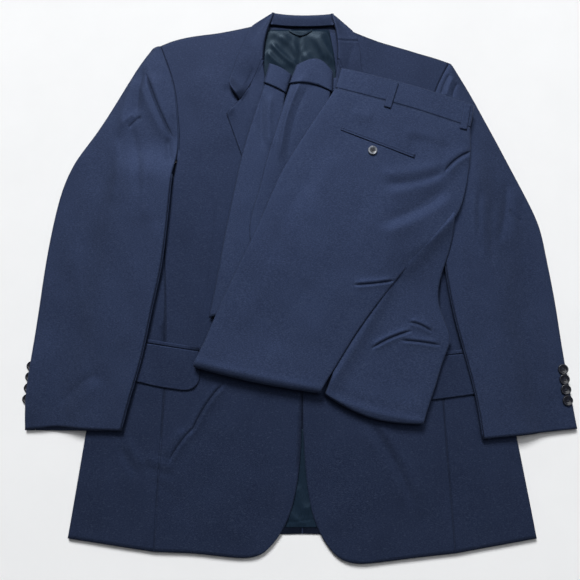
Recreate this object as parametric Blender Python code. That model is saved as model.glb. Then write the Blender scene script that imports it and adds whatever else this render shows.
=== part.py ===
"""A two-piece suit laid flat: jacket spread face up, trousers folded once on top of it.

The jacket's panels are thin cloth walls lying on each other, sewn edges 0.4 mm apart.
Sleeves and trouser legs are flattened tubes swept through sections along each limb.
Sizes are in millimetres in the tables and become metres when a mesh is made.
X runs along the shoulders, Y from the hem to the collar, Z up; the floor is Z = 0.
"""
import math
from collections import namedtuple

import bpy
import numpy as np

MM = 0.001

# Driving dimensions of the cloth
CLOTH = 1.8
LINING = 1.0
LINING_GAP = 0.5
SEAM_GAP = 0.4
LAYER_GAP = 0.6
BACK_WALL = 1.5

# Driving dimensions of the jacket
FRONT_HEIGHT = 5.6
SIDE_TUCK = 20.0
LAPEL_CURL = 2.3
COLLAR_CURL = 2.9
ROLL_SETBACK = 1.0
SLEEVE_REST = 9.0
SLEEVE_RAMP = 45.0
CUFF_BUTTON = 15.0
CUFF_BUTTON_HEIGHT = 2.6
WELT_WIDTH = 5.5

# Driving dimensions of the trousers
TURN_UP_DEPTH = 34.0
BELT_LOOP_WIDTH = 11.0
POCKET_BUTTON = 14.0

Point = namedtuple("Point", "x y")
Fold = namedtuple("Fold", "x0 y0 x1 y1 width height")
Station = namedtuple("Station", "left_x left_y right_x right_y loft")


def points(*pairs):
    """A run of plan points from x, y pairs."""
    return [Point(*pair) for pair in pairs]


def resample(line, count):
    """Smooth curve through the points, read at evenly spaced places along it."""
    given = np.array(line, dtype=float)
    steps = np.linalg.norm(np.diff(given, axis=0), axis=1)
    along = np.concatenate([[0.0], np.cumsum(steps)])
    slopes = np.gradient(given, along, axis=0)
    wanted = np.linspace(0.0, along[-1], count)
    index = np.clip(np.searchsorted(along, wanted, side="right") - 1, 0, len(given) - 2)
    span = (along[index + 1] - along[index])[:, None]
    t = (wanted - along[index])[:, None] / span
    start, end = given[index], given[index + 1]
    bend_in, bend_out = slopes[index] * span, slopes[index + 1] * span
    return ((2 * t**3 - 3 * t**2 + 1) * start + (t**3 - 2 * t**2 + t) * bend_in
            + (3 * t**2 - 2 * t**3) * end + (t**3 - t**2) * bend_out)


def smooth_step(value):
    """0 below 0, 1 above 1 and an even S between."""
    t = np.clip(value, 0.0, 1.0)
    return t * t * (3.0 - 2.0 * t)


def folds_height(folds, x, y):
    """Soft ridges and troughs: each is a rounded bar along its own short line."""
    total = np.zeros(np.shape(x))
    for fold in folds:
        run = np.array([fold.x1 - fold.x0, fold.y1 - fold.y0])
        length = np.linalg.norm(run)
        along = ((x - fold.x0) * run[0] + (y - fold.y0) * run[1]) / length
        across = ((x - fold.x0) * run[1] - (y - fold.y0) * run[0]) / length
        beyond = np.maximum(np.maximum(-along, along - length), 0.0)
        fade = (across / fold.width) ** 2 + (beyond / (2 * fold.width)) ** 2
        total = total + fold.height * np.exp(-fade)
    return total


def patch(left, right, bottom, top):
    """Plan grid inside four edges; rows run from bottom to top, columns left to right."""
    left, right = np.asarray(left, float), np.asarray(right, float)
    bottom, top = np.asarray(bottom, float), np.asarray(top, float)
    rows, columns = len(left), len(bottom)
    v = np.linspace(0, 1, rows)[:, None, None]
    u = np.linspace(0, 1, columns)[None, :, None]
    sides = (1 - u) * left[:, None] + u * right[:, None]
    ends = (1 - v) * bottom[None] + v * top[None]
    corners = ((1 - u) * (1 - v) * left[0] + u * (1 - v) * right[0]
               + (1 - u) * v * left[-1] + u * v * right[-1])
    return sides + ends - corners


def material(name, colour, roughness, metallic=0.0):
    """A plain finish in the part's colour."""
    finish = bpy.data.materials.new(name)
    finish.use_nodes = True
    shader = finish.node_tree.nodes["Principled BSDF"]
    shader.inputs["Base Color"].default_value = (*colour, 1.0)
    shader.inputs["Roughness"].default_value = roughness
    shader.inputs["Metallic"].default_value = metallic
    return finish


NAVY = (0.030, 0.044, 0.095)
TEAL = (0.030, 0.050, 0.078)
HORN = (0.012, 0.013, 0.020)
PEARL = (0.180, 0.190, 0.220)


def solid(name, vertices, faces, colour=NAVY, roughness=0.85):
    """One named object from points in millimetres."""
    mesh = bpy.data.meshes.new(name)
    mesh.from_pydata([tuple(vertex) for vertex in np.asarray(vertices) * MM], [], faces)
    mesh.validate()
    mesh.update()
    mesh.shade_smooth()
    mesh.set_sharp_from_angle(angle=math.radians(50))
    mesh.materials.append(material(name, colour, roughness))
    piece = bpy.data.objects.new(name, mesh)
    bpy.context.scene.collection.objects.link(piece)
    return piece


def grid_normals(grid):
    """Unit normal at each point of a grid, from its neighbours along both ways."""
    normal = np.cross(np.gradient(grid, axis=1), np.gradient(grid, axis=0))
    return normal / np.linalg.norm(normal, axis=2)[:, :, None]


def rim_of(rows, columns):
    """Places of a grid's outer edge, once round."""
    rim = list(range(columns))
    rim += [r * columns + columns - 1 for r in range(1, rows)]
    rim += [(rows - 1) * columns + c for c in range(columns - 2, -1, -1)]
    rim += [r * columns for r in range(rows - 2, 0, -1)]
    return rim


def wall(name, grid, thickness, colour=NAVY, roughness=0.85):
    """A cloth wall: the grid is its outer side, and the inner side lies one thickness in."""
    rows, columns = grid.shape[:2]
    inner = grid - thickness * grid_normals(grid)
    vertices = np.concatenate([grid.reshape(-1, 3), inner.reshape(-1, 3)])
    below = rows * columns
    faces = []
    for r in range(rows - 1):
        for c in range(columns - 1):
            a, b = r * columns + c, r * columns + c + 1
            d, e = a + columns, b + columns
            faces.append((a, b, e, d))
            faces.append((below + a, below + d, below + e, below + b))
    rim = rim_of(rows, columns)
    for here, after in zip(rim, rim[1:] + rim[:1]):
        faces.append((here, below + here, below + after, after))
    return solid(name, vertices, faces, colour, roughness)


def raised(plan, height):
    """Plan grid with its heights added."""
    return np.dstack([plan, np.broadcast_to(height, plan.shape[:2])])


# Jacket outlines, laid flat. Seams are shared by the two panels that they join.
SIDE_FOLD_LEFT = points((-333, -393), (-324, -322), (-315, -248), (-303, -150), (-293, -50),
                        (-283, 30), (-270, 100), (-258, 150))
SIDE_FOLD_RIGHT = points((340, -393), (330, -322), (319, -248), (307, -150), (297, -50),
                         (289, 30), (279, 100), (269, 150))
SIDE_SEAM_LEFT = points((-208, -411), (-206, -330), (-203, -250), (-201, -150), (-203, -50),
                        (-208, 30), (-206, 100), (-196, 150))
SIDE_SEAM_RIGHT = points((222, -413), (219, -330), (215, -250), (212, -150), (213, -50),
                         (217, 30), (215, 100), (207, 150))
ARMHOLE_LEFT = points((-196, 150), (-190, 183), (-189, 211), (-193, 250), (-198, 292),
                      (-206, 323), (-217, 349), (-224.5, 370))
ARMHOLE_RIGHT = points((207, 150), (203, 183), (204, 211), (209, 250), (217, 288),
                       (227, 311), (238, 331), (243, 340))
SHOULDER_LEFT = points((-224.5, 371), (-205, 379), (-177, 386), (-128, 393), (-76, 403), (-61, 407))
SHOULDER_RIGHT = points((243, 344), (209, 352), (164, 367), (140, 374), (90, 393), (63, 405))
FRONT_HEM_LEFT = points((-208, -411), (-141, -414), (-103, -418), (-75, -420), (-60, -418),
                        (-47, -412))
FRONT_HEM_RIGHT = points((222, -413), (166, -419), (106, -426), (80, -428), (61, -424),
                         (45, -413))
FRONT_EDGE_LEFT = points((-47, -412), (-32, -396), (-24, -385), (-14, -369), (-8, -347),
                         (-4, -325), (1, -287), (3.6, -223), (4, -150), (3, -100), (-2, -56))
FRONT_EDGE_RIGHT = points((45, -413), (33, -399), (24, -383), (16, -358), (10, -316),
                          (6, -269), (4.4, -209), (4, -150), (6, -100), (11, -56))
ROLL_LEFT = points((-2, -56), (-11, 0), (-21, 70), (-32, 150), (-44, 240), (-55, 310), (-60, 345))
ROLL_RIGHT = points((11, -56), (19, 0), (29, 70), (40, 150), (51, 240), (60, 310), (65, 345))
NECK_LEFT = points((-60, 345), (-61, 375), (-59, 408))
NECK_RIGHT = points((65, 345), (65, 375), (61, 406))
ARMHOLE_LAP = 5.5

PANEL_COLUMNS = 9
BACK_COLUMNS = 5
SIDE_ROWS = 13
FRONT_FOLDS = [
    Fold(-60, 357, -76, 300, 9, -1.2),
    Fold(-77, -159, -118, -260, 10, 1.3),
    Fold(-96, -180, -150, -262, 9, -1.0),
    Fold(-190, -270, -225, -280, 14, 0.9),
    Fold(-250, -250, -225, -300, 12, -0.9),
    Fold(105, -215, 142, -300, 14, 1.2),
    Fold(142, -300, 190, -360, 16, -0.9),
    Fold(-140, 190, -150, 20, 26, 0.8),
    Fold(-120, 330, -175, 150, 30, 1.0),
    Fold(150, 190, 170, -20, 30, 0.9),
    Fold(250, -280, 270, -360, 20, 0.9),
    Fold(60, -280, 90, -390, 20, 0.7),
    Fold(-250, -330, -130, -380, 22, 0.7),
]


def front_height(x, y):
    """Top of the jacket's upper layer: nearly level, with the softest of its folds."""
    relief = np.clip(folds_height(FRONT_FOLDS, x, y), -1.3, 1.7)
    return FRONT_HEIGHT + relief + back_height(x, y)


def back_height(x, y):
    """Underside of the back, lifted at the neck where the collar's fall lies below it."""
    near_neck = smooth_step((y - 305.0) / 45.0) * smooth_step((130.0 - abs(x - 2.0)) / 42.0)
    return (CLOTH + LAYER_GAP) * near_neck


def side_panel(name, fold, seam, toward_seam):
    """Underarm panel: from the back seam under the body, round the side fold, to the front."""
    edge = resample(fold, SIDE_ROWS)
    seam_line = resample(seam, SIDE_ROWS)
    radius = FRONT_HEIGHT / 2.0
    arc = [(1 - math.cos(a), math.sin(a)) for a in np.radians([-90, -50, 0, 50, 90])]
    section = [(SIDE_TUCK - SEAM_GAP, 0.0), (SIDE_TUCK / 2.0, 0.0)]
    section += [(radius * inset, radius * (1 + rise)) for inset, rise in arc]
    grid = []
    for place, seam_place in zip(edge, seam_line):
        row = [(place[0] + toward_seam * inset, place[1], z) for inset, z in section]
        start = np.array([place[0] + toward_seam * radius, place[1]])
        end = seam_place - np.array([toward_seam * SEAM_GAP, 0.0])
        for share in np.linspace(0, 1, 6)[1:]:
            x, y = start + share * (end - start)
            height = radius * 2 + (float(front_height(x, y)) - radius * 2) * share
            row.append((x, y, height))
        grid.append(row)
    grid = np.array(grid)
    if toward_seam < 0:
        grid = grid[:, ::-1]
    return wall(name, grid, CLOTH)


def back_panel(name, fold, seam_x, armhole, shoulder, toward_centre):
    """Half of the back, flat on the floor, from the centre seam to the side panel."""
    rows = SIDE_ROWS + 8
    side = resample(fold, SIDE_ROWS) + np.array([toward_centre * SIDE_TUCK, 0.0])
    side[0, 1] = -392.0
    arm = resample(armhole, 9)[1:] + np.array([toward_centre * ARMHOLE_LAP, 0.0])
    outer = np.concatenate([side, arm])
    centre = np.stack([np.full(rows, seam_x), np.linspace(-387.0, 398.0, rows)], axis=1)
    hem_line = np.linspace(outer[0], centre[0], BACK_COLUMNS)
    top = resample(list(shoulder) + [Point(seam_x, 398.0)], BACK_COLUMNS)
    top[0] = outer[-1]
    top[-1] = centre[-1]
    if toward_centre > 0:
        plan = patch(outer, centre, hem_line, top)
    else:
        plan = patch(centre, outer, hem_line[::-1], top[::-1])
    height = back_height(plan[:, :, 0], plan[:, :, 1]) + BACK_WALL
    return wall(name, raised(plan, height), BACK_WALL)


def front_panel(name, seam, armhole, shoulder, hem, edge, roll, neck, toward_centre):
    """A front from side seam and armhole to the front edge, roll line and neck."""
    side = np.concatenate([resample(seam, SIDE_ROWS), resample(armhole, 8)[1:]])
    opening = np.concatenate([resample(edge, 9), resample(roll, 10)[1:], resample(neck, 3)[1:]])
    opening[:9, 0] -= toward_centre * SEAM_GAP / 2.0
    opening[9:, 0] -= toward_centre * ROLL_SETBACK
    hem_line = resample(hem, PANEL_COLUMNS)
    top = resample(shoulder, PANEL_COLUMNS)
    hem_line[0], hem_line[-1] = side[0], opening[0]
    top[0], top[-1] = side[-1], opening[-1]
    if toward_centre > 0:
        plan = patch(side, opening, hem_line, top)
    else:
        plan = patch(opening, side, hem_line[::-1], top[::-1])
    return wall(name, raised(plan, front_height(plan[:, :, 0], plan[:, :, 1])), CLOTH)


def build_body():
    """Backs, side panels and fronts."""
    back_panel("back_left", SIDE_FOLD_LEFT, 3.8, ARMHOLE_LEFT, SHOULDER_LEFT, 1)
    back_panel("back_right", SIDE_FOLD_RIGHT, 4.2, ARMHOLE_RIGHT, SHOULDER_RIGHT, -1)
    side_panel("side_panel_left", SIDE_FOLD_LEFT, SIDE_SEAM_LEFT, 1)
    side_panel("side_panel_right", SIDE_FOLD_RIGHT, SIDE_SEAM_RIGHT, -1)
    front_panel("front_left", SIDE_SEAM_LEFT, ARMHOLE_LEFT, SHOULDER_LEFT, FRONT_HEM_LEFT,
                FRONT_EDGE_LEFT, ROLL_LEFT, NECK_LEFT, 1)
    front_panel("front_right", SIDE_SEAM_RIGHT, ARMHOLE_RIGHT, SHOULDER_RIGHT, FRONT_HEM_RIGHT,
                FRONT_EDGE_RIGHT, ROLL_RIGHT, NECK_RIGHT, -1)


def turned_back(name, free_edge, roll, lower, upper, lift, curl, toward_centre):
    """Cloth folded back onto the front: a flat leaf, then a curl down at its roll line."""
    if toward_centre > 0:
        plan = patch(free_edge, roll, lower, upper)
    else:
        plan = patch(roll, free_edge, lower[::-1], upper[::-1])
        plan = plan[:, ::-1]
    columns = plan.shape[1]
    share = np.linspace(0, 1, columns)[None, :]
    height = front_height(plan[:, :, 0], plan[:, :, 1]) + LAYER_GAP + CLOTH + lift * share**2
    leaf = raised(plan, height)
    turns = []
    for angle in np.radians([40, 80, 120, 150]):
        turn = leaf[:, -1].copy()
        turn[:, 0] += toward_centre * curl * math.sin(angle)
        turn[:, 2] -= curl * (1 - math.cos(angle))
        turns.append(turn)
    grid = np.concatenate([leaf, np.stack(turns, axis=1)], axis=1)
    if toward_centre < 0:
        grid = grid[:, ::-1]
    return wall(name, grid, CLOTH)


LAPEL_OUTER_LEFT = points((-8, -50), (-45, 55), (-91, 185), (-115, 252))
LAPEL_OUTER_RIGHT = points((17, -50), (53, 55), (98, 185), (122, 252))
GORGE_LEFT = points((-94, 275), (-78, 300), (-69, 322), (-60, 344))
GORGE_RIGHT = points((101, 275), (85, 300), (75, 322), (65, 344))
LEAF_OUTER_LEFT = points((-113, 301), (-105, 331), (-95, 360), (-85, 385), (-77, 402.5))
LEAF_OUTER_RIGHT = points((108, 301), (101, 331), (99, 360), (96, 379), (90, 392))
LEAF_ROLL_LEFT = points((-60, 345), (-58, 372), (-51, 402), (-41.5, 428))
LEAF_ROLL_RIGHT = points((65, 345), (65, 372), (61.5, 402), (55, 426.5))
LAPEL_ROWS = 11
NOTCH_GAP = 0.35
LEAF_LIFT = 2.2
LEAF_DROP = 3.9


def lapel(name, outer, gorge, roll, tip_x, toward_centre):
    """Facing turned back on the roll line, its top cut along the gorge and the notch."""
    free_edge = resample(outer, LAPEL_ROWS)
    inner = resample(roll, LAPEL_ROWS)
    inner[-1] = np.array(gorge[-1]) - np.array([0.0, NOTCH_GAP])
    top = np.array([outer[-1], (tip_x, 267)] + [(x, y - NOTCH_GAP) for x, y in gorge])
    top[-1] = inner[-1]
    foot = np.linspace(free_edge[0], inner[0], len(top))
    return turned_back(name, free_edge, inner, foot, top, 0.8, LAPEL_CURL, toward_centre)


def collar_leaf(name, outer, gorge, roll, toward_centre):
    """Fall of the collar on the front, from the notch past the shoulder to the back fold."""
    rows = 9
    free_edge = resample(outer, rows)
    inner = resample(roll, rows)
    lift = LEAF_LIFT - LEAF_DROP * smooth_step((inner[:, 1:] - 404.0) / 22.0)
    inner[0] = np.array(gorge[-1]) + np.array([0.0, NOTCH_GAP])
    gorge_line = [(x, y + NOTCH_GAP) for x, y in gorge]
    end_edge = [outer[0], tuple((np.array(outer[0]) + np.array(gorge_line[0])) / 2)]
    lower = np.array(end_edge + gorge_line)
    lower[-1] = inner[0]
    upper = np.linspace(free_edge[-1], inner[-1], len(lower))
    return turned_back(name, free_edge, inner, lower, upper, lift, COLLAR_CURL, toward_centre)


COLLAR_TOP = points((-38, 428.9), (-20, 426.4), (2, 425.2), (30, 425.6), (52, 427.4))
COLLAR_FALL = 50.0
COLLAR_STAND = 21.0
COLLAR_FOLD = 4.4
COLLAR_COLUMNS = 11
STAND_FOOT_Y = 403.0
# The fall's ends on the floor, below the leaves.
FALL_END_LEFT = points((-73, 375), (-73, 401), (-39, 425.5))
FALL_END_RIGHT = points((79, 375), (81, 391), (66, 406), (53, 424))


def edge_at(line, y):
    """Where a line of points, listed upwards, crosses this height on the plan."""
    table = np.array(line, dtype=float)
    return float(np.interp(y, table[:, 1], table[:, 0]))


def collar_row(left_line, right_line, clearance, tops, along, z):
    """One level of the back collar, from the left leaf to the right one."""
    row = []
    for share, top_y in zip(np.linspace(0, 1, COLLAR_COLUMNS), tops):
        y = max(top_y + along, STAND_FOOT_Y) if z > COLLAR_FOLD else top_y + along
        left = edge_at(left_line, y) + clearance
        right = edge_at(right_line, y) - clearance
        row.append((left + share * (right - left), y, z))
    return row


def collar_back(name):
    """Back of the collar: the fall on the floor, the fold at the top, the stand inside."""
    tops = resample(COLLAR_TOP, COLLAR_COLUMNS)[:, 1]
    clearance = COLLAR_CURL + SEAM_GAP
    grid = []
    for along in (-COLLAR_FALL, -COLLAR_FALL * 0.5, -COLLAR_FALL * 0.2):
        grid.append(collar_row(FALL_END_LEFT, FALL_END_RIGHT, 0.0, tops, along, 0.0))
    for turn in np.radians([0, 45, 90, 135, 180]):
        along = -COLLAR_FOLD * (1 - math.sin(turn))
        z = COLLAR_FOLD * (1 - math.cos(turn))
        grid.append(collar_row(LEAF_ROLL_LEFT, LEAF_ROLL_RIGHT, clearance, tops, along, z))
    for along, z in ((-0.55 * COLLAR_STAND, 8.3), (-COLLAR_STAND, 6.9)):
        grid.append(collar_row(LEAF_ROLL_LEFT, LEAF_ROLL_RIGHT, clearance, tops, along, z))
    return wall(name, np.array(grid)[::-1], CLOTH)


LINING_LEAD = 12.0


def neck_lining(name):
    """Satin lining over the inside of the back, seen between the two lapels."""
    left = resample(points((-10, -20), (-31, 110), (-46, 220), (-58, 320), (-52, 399)), 9)
    right = resample(points((20, -20), (40, 110), (52, 220), (62, 320), (50, 399)), 9)
    plan = patch(left, right, np.linspace(left[0], right[0], 6),
                 np.linspace(left[-1], right[-1], 6))
    x, y = plan[:, :, 0], plan[:, :, 1]
    height = back_height(x, y + LINING_LEAD) + BACK_WALL + LINING_GAP + LINING
    return wall(name, raised(plan, height), LINING, TEAL, 0.35)


def hem_lining(name):
    """Lining that shows between the curved fronts, ending above the back's hem."""
    left = resample(points((-30, -378), (-22, -340), (-12, -300), (-7, -240)), 8)
    right = resample(points((30, -378), (26, -340), (18, -300), (14, -240)), 8)
    plan = patch(left, right, np.linspace(left[0], right[0], 6),
                 np.linspace(left[-1], right[-1], 6))
    return wall(name, raised(plan, BACK_WALL + LINING_GAP + LINING), LINING, TEAL, 0.35)


HANGER_LEFT_X = -16.0
HANGER_RIGHT_X = 22.0
HANGER_ENDS_Y = 398.0
HANGER_DROP = 9.0
HANGER_WIDTH = 3.5
HANGER_TOP = 6.9
HANGER_THICKNESS = 0.8


def hanger_loop(name):
    """Narrow loop of lining across the back of the neck, bowed off the lining."""
    grid = []
    for share in np.linspace(0, 1, 9):
        x = HANGER_LEFT_X + share * (HANGER_RIGHT_X - HANGER_LEFT_X)
        bow = math.sin(math.pi * share)
        y = HANGER_ENDS_Y - HANGER_DROP * bow
        top = HANGER_TOP + 0.9 * bow
        grid.append([(x, y - HANGER_WIDTH / 2, top), (x, y + HANGER_WIDTH / 2, top)])
    return wall(name, np.array(grid).transpose(1, 0, 2), HANGER_THICKNESS, TEAL, 0.4)


def build_collar():
    """Lapels, collar, lining and hanger loop."""
    lapel("lapel_left", LAPEL_OUTER_LEFT, GORGE_LEFT, ROLL_LEFT, -105, 1)
    lapel("lapel_right", LAPEL_OUTER_RIGHT, GORGE_RIGHT, ROLL_RIGHT, 112, -1)
    collar_leaf("collar_leaf_left", LEAF_OUTER_LEFT, GORGE_LEFT, LEAF_ROLL_LEFT, 1)
    collar_leaf("collar_leaf_right", LEAF_OUTER_RIGHT, GORGE_RIGHT, LEAF_ROLL_RIGHT, -1)
    collar_back("collar_back")
    neck_lining("lining_neck")
    hem_lining("lining_hem")
    hanger_loop("hanger_loop")


# Sleeves: a row for each section across the arm, from the cuff to the armpit.
# left is the outer edge and right the inner edge, whichever arm it is.
SLEEVE_LEFT = [
    Station(-404, -241, -259, -242, 7.2),
    Station(-406, -197, -249, -197, 6.8),
    Station(-401, -132, -234, -140, 6.6),
    Station(-395, -60, -221, -65, 6.6),
    Station(-388, 20, -208, 5, 6.6),
    Station(-379, 85, -203, 60, 6.8),
    Station(-367, 140, -199, 115, 7.0),
    Station(-349, 180, -196.8, 150, 7.2),
]
SLEEVE_RIGHT = [
    Station(409, -239, 266, -254, 7.2),
    Station(403, -190, 260, -200, 6.8),
    Station(395, -120, 246, -135, 6.6),
    Station(389, -50, 231, -70, 6.6),
    Station(380, 20, 221, 0, 6.6),
    Station(372, 72, 217, 55, 6.8),
    Station(357, 108, 212, 105, 7.0),
    Station(343, 140, 207.8, 150, 7.2),
]
# Outer edge of the sleeve head, from the armpit section up to the shoulder.
CAP_OUTER_LEFT = points((-349, 180), (-330, 207), (-311, 238), (-292, 273), (-276, 303),
                        (-262, 330), (-250, 350), (-238, 366))
CAP_OUTER_RIGHT = points((343, 140), (328, 173), (312, 209), (296, 243), (281, 276),
                         (270, 298), (261, 315), (253, 329))
CAP_PUFF = 3.6
CAP_EDGE = 5.4
ARM_ROWS = 14
HEAD_ROWS = 8
TOP_COLUMNS = 9
SLEEVE_CURL = 2.4
ELBOW_SEAM_IN = 14.0
HEAD_LAP = 3.0
# How far the left cuff's outer edge rides up on its buttons, and where that starts and ends.
BUTTON_LIFT = 3.2
BUTTON_LIFT_X = -362.0
BUTTON_LIFT_FOOT = -245.0
BUTTON_LIFT_TOP = -100.0
BUTTON_LIFT_RAMP = 30.0
# How far the top sleeve's hem draws back from the under sleeve's, across the cuff.
CUFF_DRAW_LEFT = points((0.0, 2.0), (0.2, 2.6), (0.28, 7.5), (0.42, 5.5), (0.6, 2.5), (1.0, 0.8))
CUFF_DRAW_RIGHT = points((0.0, 0.3), (0.5, 0.6), (1.0, 0.9))
SLEEVE_FOLDS = [
    Fold(-222, 318, -208, 240, 9, -1.5),
    Fold(-208, 270, -196, 190, 9, 1.4),
    Fold(-300, 60, -240, 150, 22, 1.2),
    Fold(-330, -60, -290, 40, 24, -1.0),
    Fold(-345, -190, -300, -90, 24, 1.0),
    Fold(-350, 150, -270, 120, 16, -1.1),
    Fold(320, 165, 303, 80, 9, 1.9),
    Fold(300, 140, 296, 60, 10, -1.4),
    Fold(340, 118, 352, 96, 8, 1.5),
    Fold(310, -40, 350, -150, 24, 1.0),
    Fold(280, -120, 320, -200, 20, -0.9),
]


def body_edge(side, y):
    """How far out the body's side fold lies at this place along the jacket."""
    line = np.array(SIDE_FOLD_RIGHT if side > 0 else SIDE_FOLD_LEFT, dtype=float)
    return np.interp(y, line[:, 1], line[:, 0] * side)


def sleeve_rest(side, spot):
    """Underside of a sleeve: on the floor outside the body, and up on the body inside it."""
    x, y = spot
    outside = x * side - body_edge(side, y)
    on_body = smooth_step((SLEEVE_RAMP + 2.0 - outside) / SLEEVE_RAMP)
    below_arm = smooth_step((200.0 - y) / 40.0)
    rest = SLEEVE_REST * on_body * below_arm
    if side < 0:
        along = smooth_step((y - BUTTON_LIFT_FOOT) / BUTTON_LIFT_RAMP)
        along *= smooth_step((BUTTON_LIFT_TOP - y) / BUTTON_LIFT_RAMP)
        rest += BUTTON_LIFT * along * smooth_step((BUTTON_LIFT_X - x) / BUTTON_LIFT_RAMP)
    return float(rest)


def sleeve_relief(spot):
    """The sleeve's own creases at one place, kept within the room between its two walls."""
    return float(np.clip(folds_height(SLEEVE_FOLDS, *spot), -1.5, 1.9))


def arm_sections(stations):
    """Outer edge, inner edge and loft at each section between the cuff and the armpit."""
    table = np.array(stations, dtype=float)
    outer = resample(table[:, 0:2], ARM_ROWS)
    inner = resample(table[:, 2:4], ARM_ROWS)
    loft = np.interp(np.linspace(0, 1, ARM_ROWS), np.linspace(0, 1, len(table)), table[:, 4])
    return list(zip(outer, inner, loft))


def top_sleeve(name, side, stations, armhole, cap_outer, cuff_draw):
    """Upper half of a sleeve: under the outer fold, over the arm and up into the armhole."""
    sections = [(*section, 0.0) for section in arm_sections(stations)]
    seam = resample(armhole, HEAD_ROWS)[1:] + np.array([side * 2.0 * SEAM_GAP, 0.0])
    cap = resample(cap_outer, HEAD_ROWS)[1:]
    for step, (cap_edge, seam_edge) in enumerate(zip(cap, seam), start=1):
        share = step / (HEAD_ROWS - 1)
        loft = stations[-1].loft * (1 - share) + CAP_EDGE * share
        sections.append((cap_edge, seam_edge, loft, share))
    draw_shares, draws = np.array(cuff_draw).T
    grid = []
    for outer, inner, loft, head in sections:
        width = np.linalg.norm(inner - outer)
        at_cuff = len(grid) == 0
        inward = (inner - outer) / width
        into_head = min(1.0, 3.0 * head)
        tuck = ELBOW_SEAM_IN * (1 - into_head)
        tuck += (width + HEAD_LAP * (1 - 1.3 * head**4)) * into_head
        row = []
        for inset in (tuck, 0.5 * tuck, SLEEVE_CURL):
            spot = outer + inward * inset
            row.append((*spot, sleeve_rest(side, spot)))
        for angle in np.radians([-50, 0, 50]):
            spot = outer + inward * SLEEVE_CURL * (1 - math.cos(angle))
            row.append((*spot, sleeve_rest(side, spot) + 0.42 * loft * (1 + math.sin(angle))))
        end = width - SLEEVE_CURL * (head == 0.0)
        for share in np.linspace(0, 1, TOP_COLUMNS):
            spot = outer + inward * (1.3 * SLEEVE_CURL + share * (end - 1.3 * SLEEVE_CURL))
            spot = spot + np.array([0.0, at_cuff * np.interp(share, draw_shares, draws)])
            crown = loft * (0.86 + 0.14 * math.sin(math.pi * share))
            height = sleeve_rest(side, spot) + crown
            puffed = loft * 0.9 * (1 - share) + float(front_height(*inner)) * share
            puffed += CAP_PUFF * (1 - 0.6 * head) * math.sin(math.pi * share) ** 0.8
            height = height * (1 - into_head) + puffed * into_head
            faded = math.sin(math.pi * min(1, 1.2 * share + 0.1))
            row.append((*spot, height + sleeve_relief(spot) * faded))
        grid.append(row)
    grid = np.array(grid)
    if side > 0:
        grid = grid[:, ::-1]
    wall(name, grid, CLOTH)
    return grid


def under_sleeve(name, side, stations):
    """Lower half of a sleeve, from the inner fold back to the elbow seam."""
    grid = []
    for outer, inner, loft in arm_sections(stations):
        width = np.linalg.norm(inner - outer)
        outward = (outer - inner) / width
        row = []
        for angle in np.radians([48, 20, -15, -55]):
            spot = inner + outward * SLEEVE_CURL * (1 - math.cos(angle))
            row.append((*spot, sleeve_rest(side, spot) + 0.42 * loft * (1 + math.sin(angle))))
        end = width - ELBOW_SEAM_IN - 2 * SEAM_GAP
        for share in np.linspace(0, 1, 6):
            spot = inner + outward * (1.2 * SLEEVE_CURL + share * (end - 1.2 * SLEEVE_CURL))
            row.append((*spot, sleeve_rest(side, spot)))
        grid.append(row)
    grid = np.array(grid)
    if side > 0:
        grid = grid[:, ::-1]
    return wall(name, grid, BACK_WALL)


def button(name, centre, diameter, height, base, colour, sides=12, face=1):
    """A turned button: flat foot, rounded rim and a dished face, up (1) or down (-1)."""
    radius = diameter / 2.0
    profile = [(0.70, 0.0), (1.0, 0.45), (0.92, 1.0), (0.66, 0.76)]
    turn = np.linspace(0, 2 * math.pi, sides, endpoint=False)
    rings = [[(centre[0] + radius * share * math.cos(a), centre[1] + radius * share * math.sin(a),
               base + (rise if face > 0 else 1.0 - rise) * height) for a in turn]
             for share, rise in profile]
    vertices = [vertex for ring in rings for vertex in ring]
    faces = [tuple(reversed(range(sides)))]
    for ring in range(len(profile) - 1):
        for k in range(sides):
            a, b = ring * sides + k, ring * sides + (k + 1) % sides
            faces.append((a, b, b + sides, a + sides))
    last = (len(profile) - 1) * sides
    faces.append(tuple(range(last, last + sides)))
    if face < 0:
        faces = [tuple(reversed(corners)) for corners in faces]
    return solid(name, vertices, faces, colour, 0.3)


CUFF_BUTTONS_LEFT = points((-404.3, -196), (-403, -179.5), (-402, -163), (-401, -147))
CUFF_BUTTONS_RIGHT = points((396, -198), (394.5, -182), (393.5, -167), (392.5, -152))


def flap(name, top_left, top_right, bottom):
    """Pocket flap: straight at the welt, its front corner rounded."""
    columns, rows = len(bottom), 6
    upper = np.linspace(top_left, top_right, columns)
    lower = np.array(bottom, dtype=float)
    plan = patch(np.linspace(lower[0], upper[0], rows), np.linspace(lower[-1], upper[-1], rows),
                 lower, upper)
    share = np.linspace(1, 0, rows)[:, None]
    height = front_height(plan[:, :, 0], plan[:, :, 1]) + LAYER_GAP + CLOTH + 0.5 * share
    return wall(name, raised(plan, height), CLOTH)


def welt(name, left, right):
    """Narrow piped edge above the flap."""
    left, right = np.array(left, dtype=float), np.array(right, dtype=float)
    rise = np.array([0.0, WELT_WIDTH])
    plan = patch(np.linspace(left, left + rise, 3), np.linspace(right, right + rise, 3),
                 np.linspace(left, right, 9), np.linspace(left + rise, right + rise, 9))
    height = front_height(plan[:, :, 0], plan[:, :, 1]) + LAYER_GAP + 1.2
    return wall(name, raised(plan, height), 1.2)


FLAP_BOTTOM_LEFT = points((-288, -160), (-262, -166), (-234, -172), (-208, -178), (-184, -181.5),
                          (-166, -184), (-154, -179), (-148.5, -167))
FLAP_BOTTOM_RIGHT = points((157, -182), (162, -194), (174, -199.5), (196, -197), (220, -194),
                           (246, -190.5), (270, -187), (294, -183))


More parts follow.
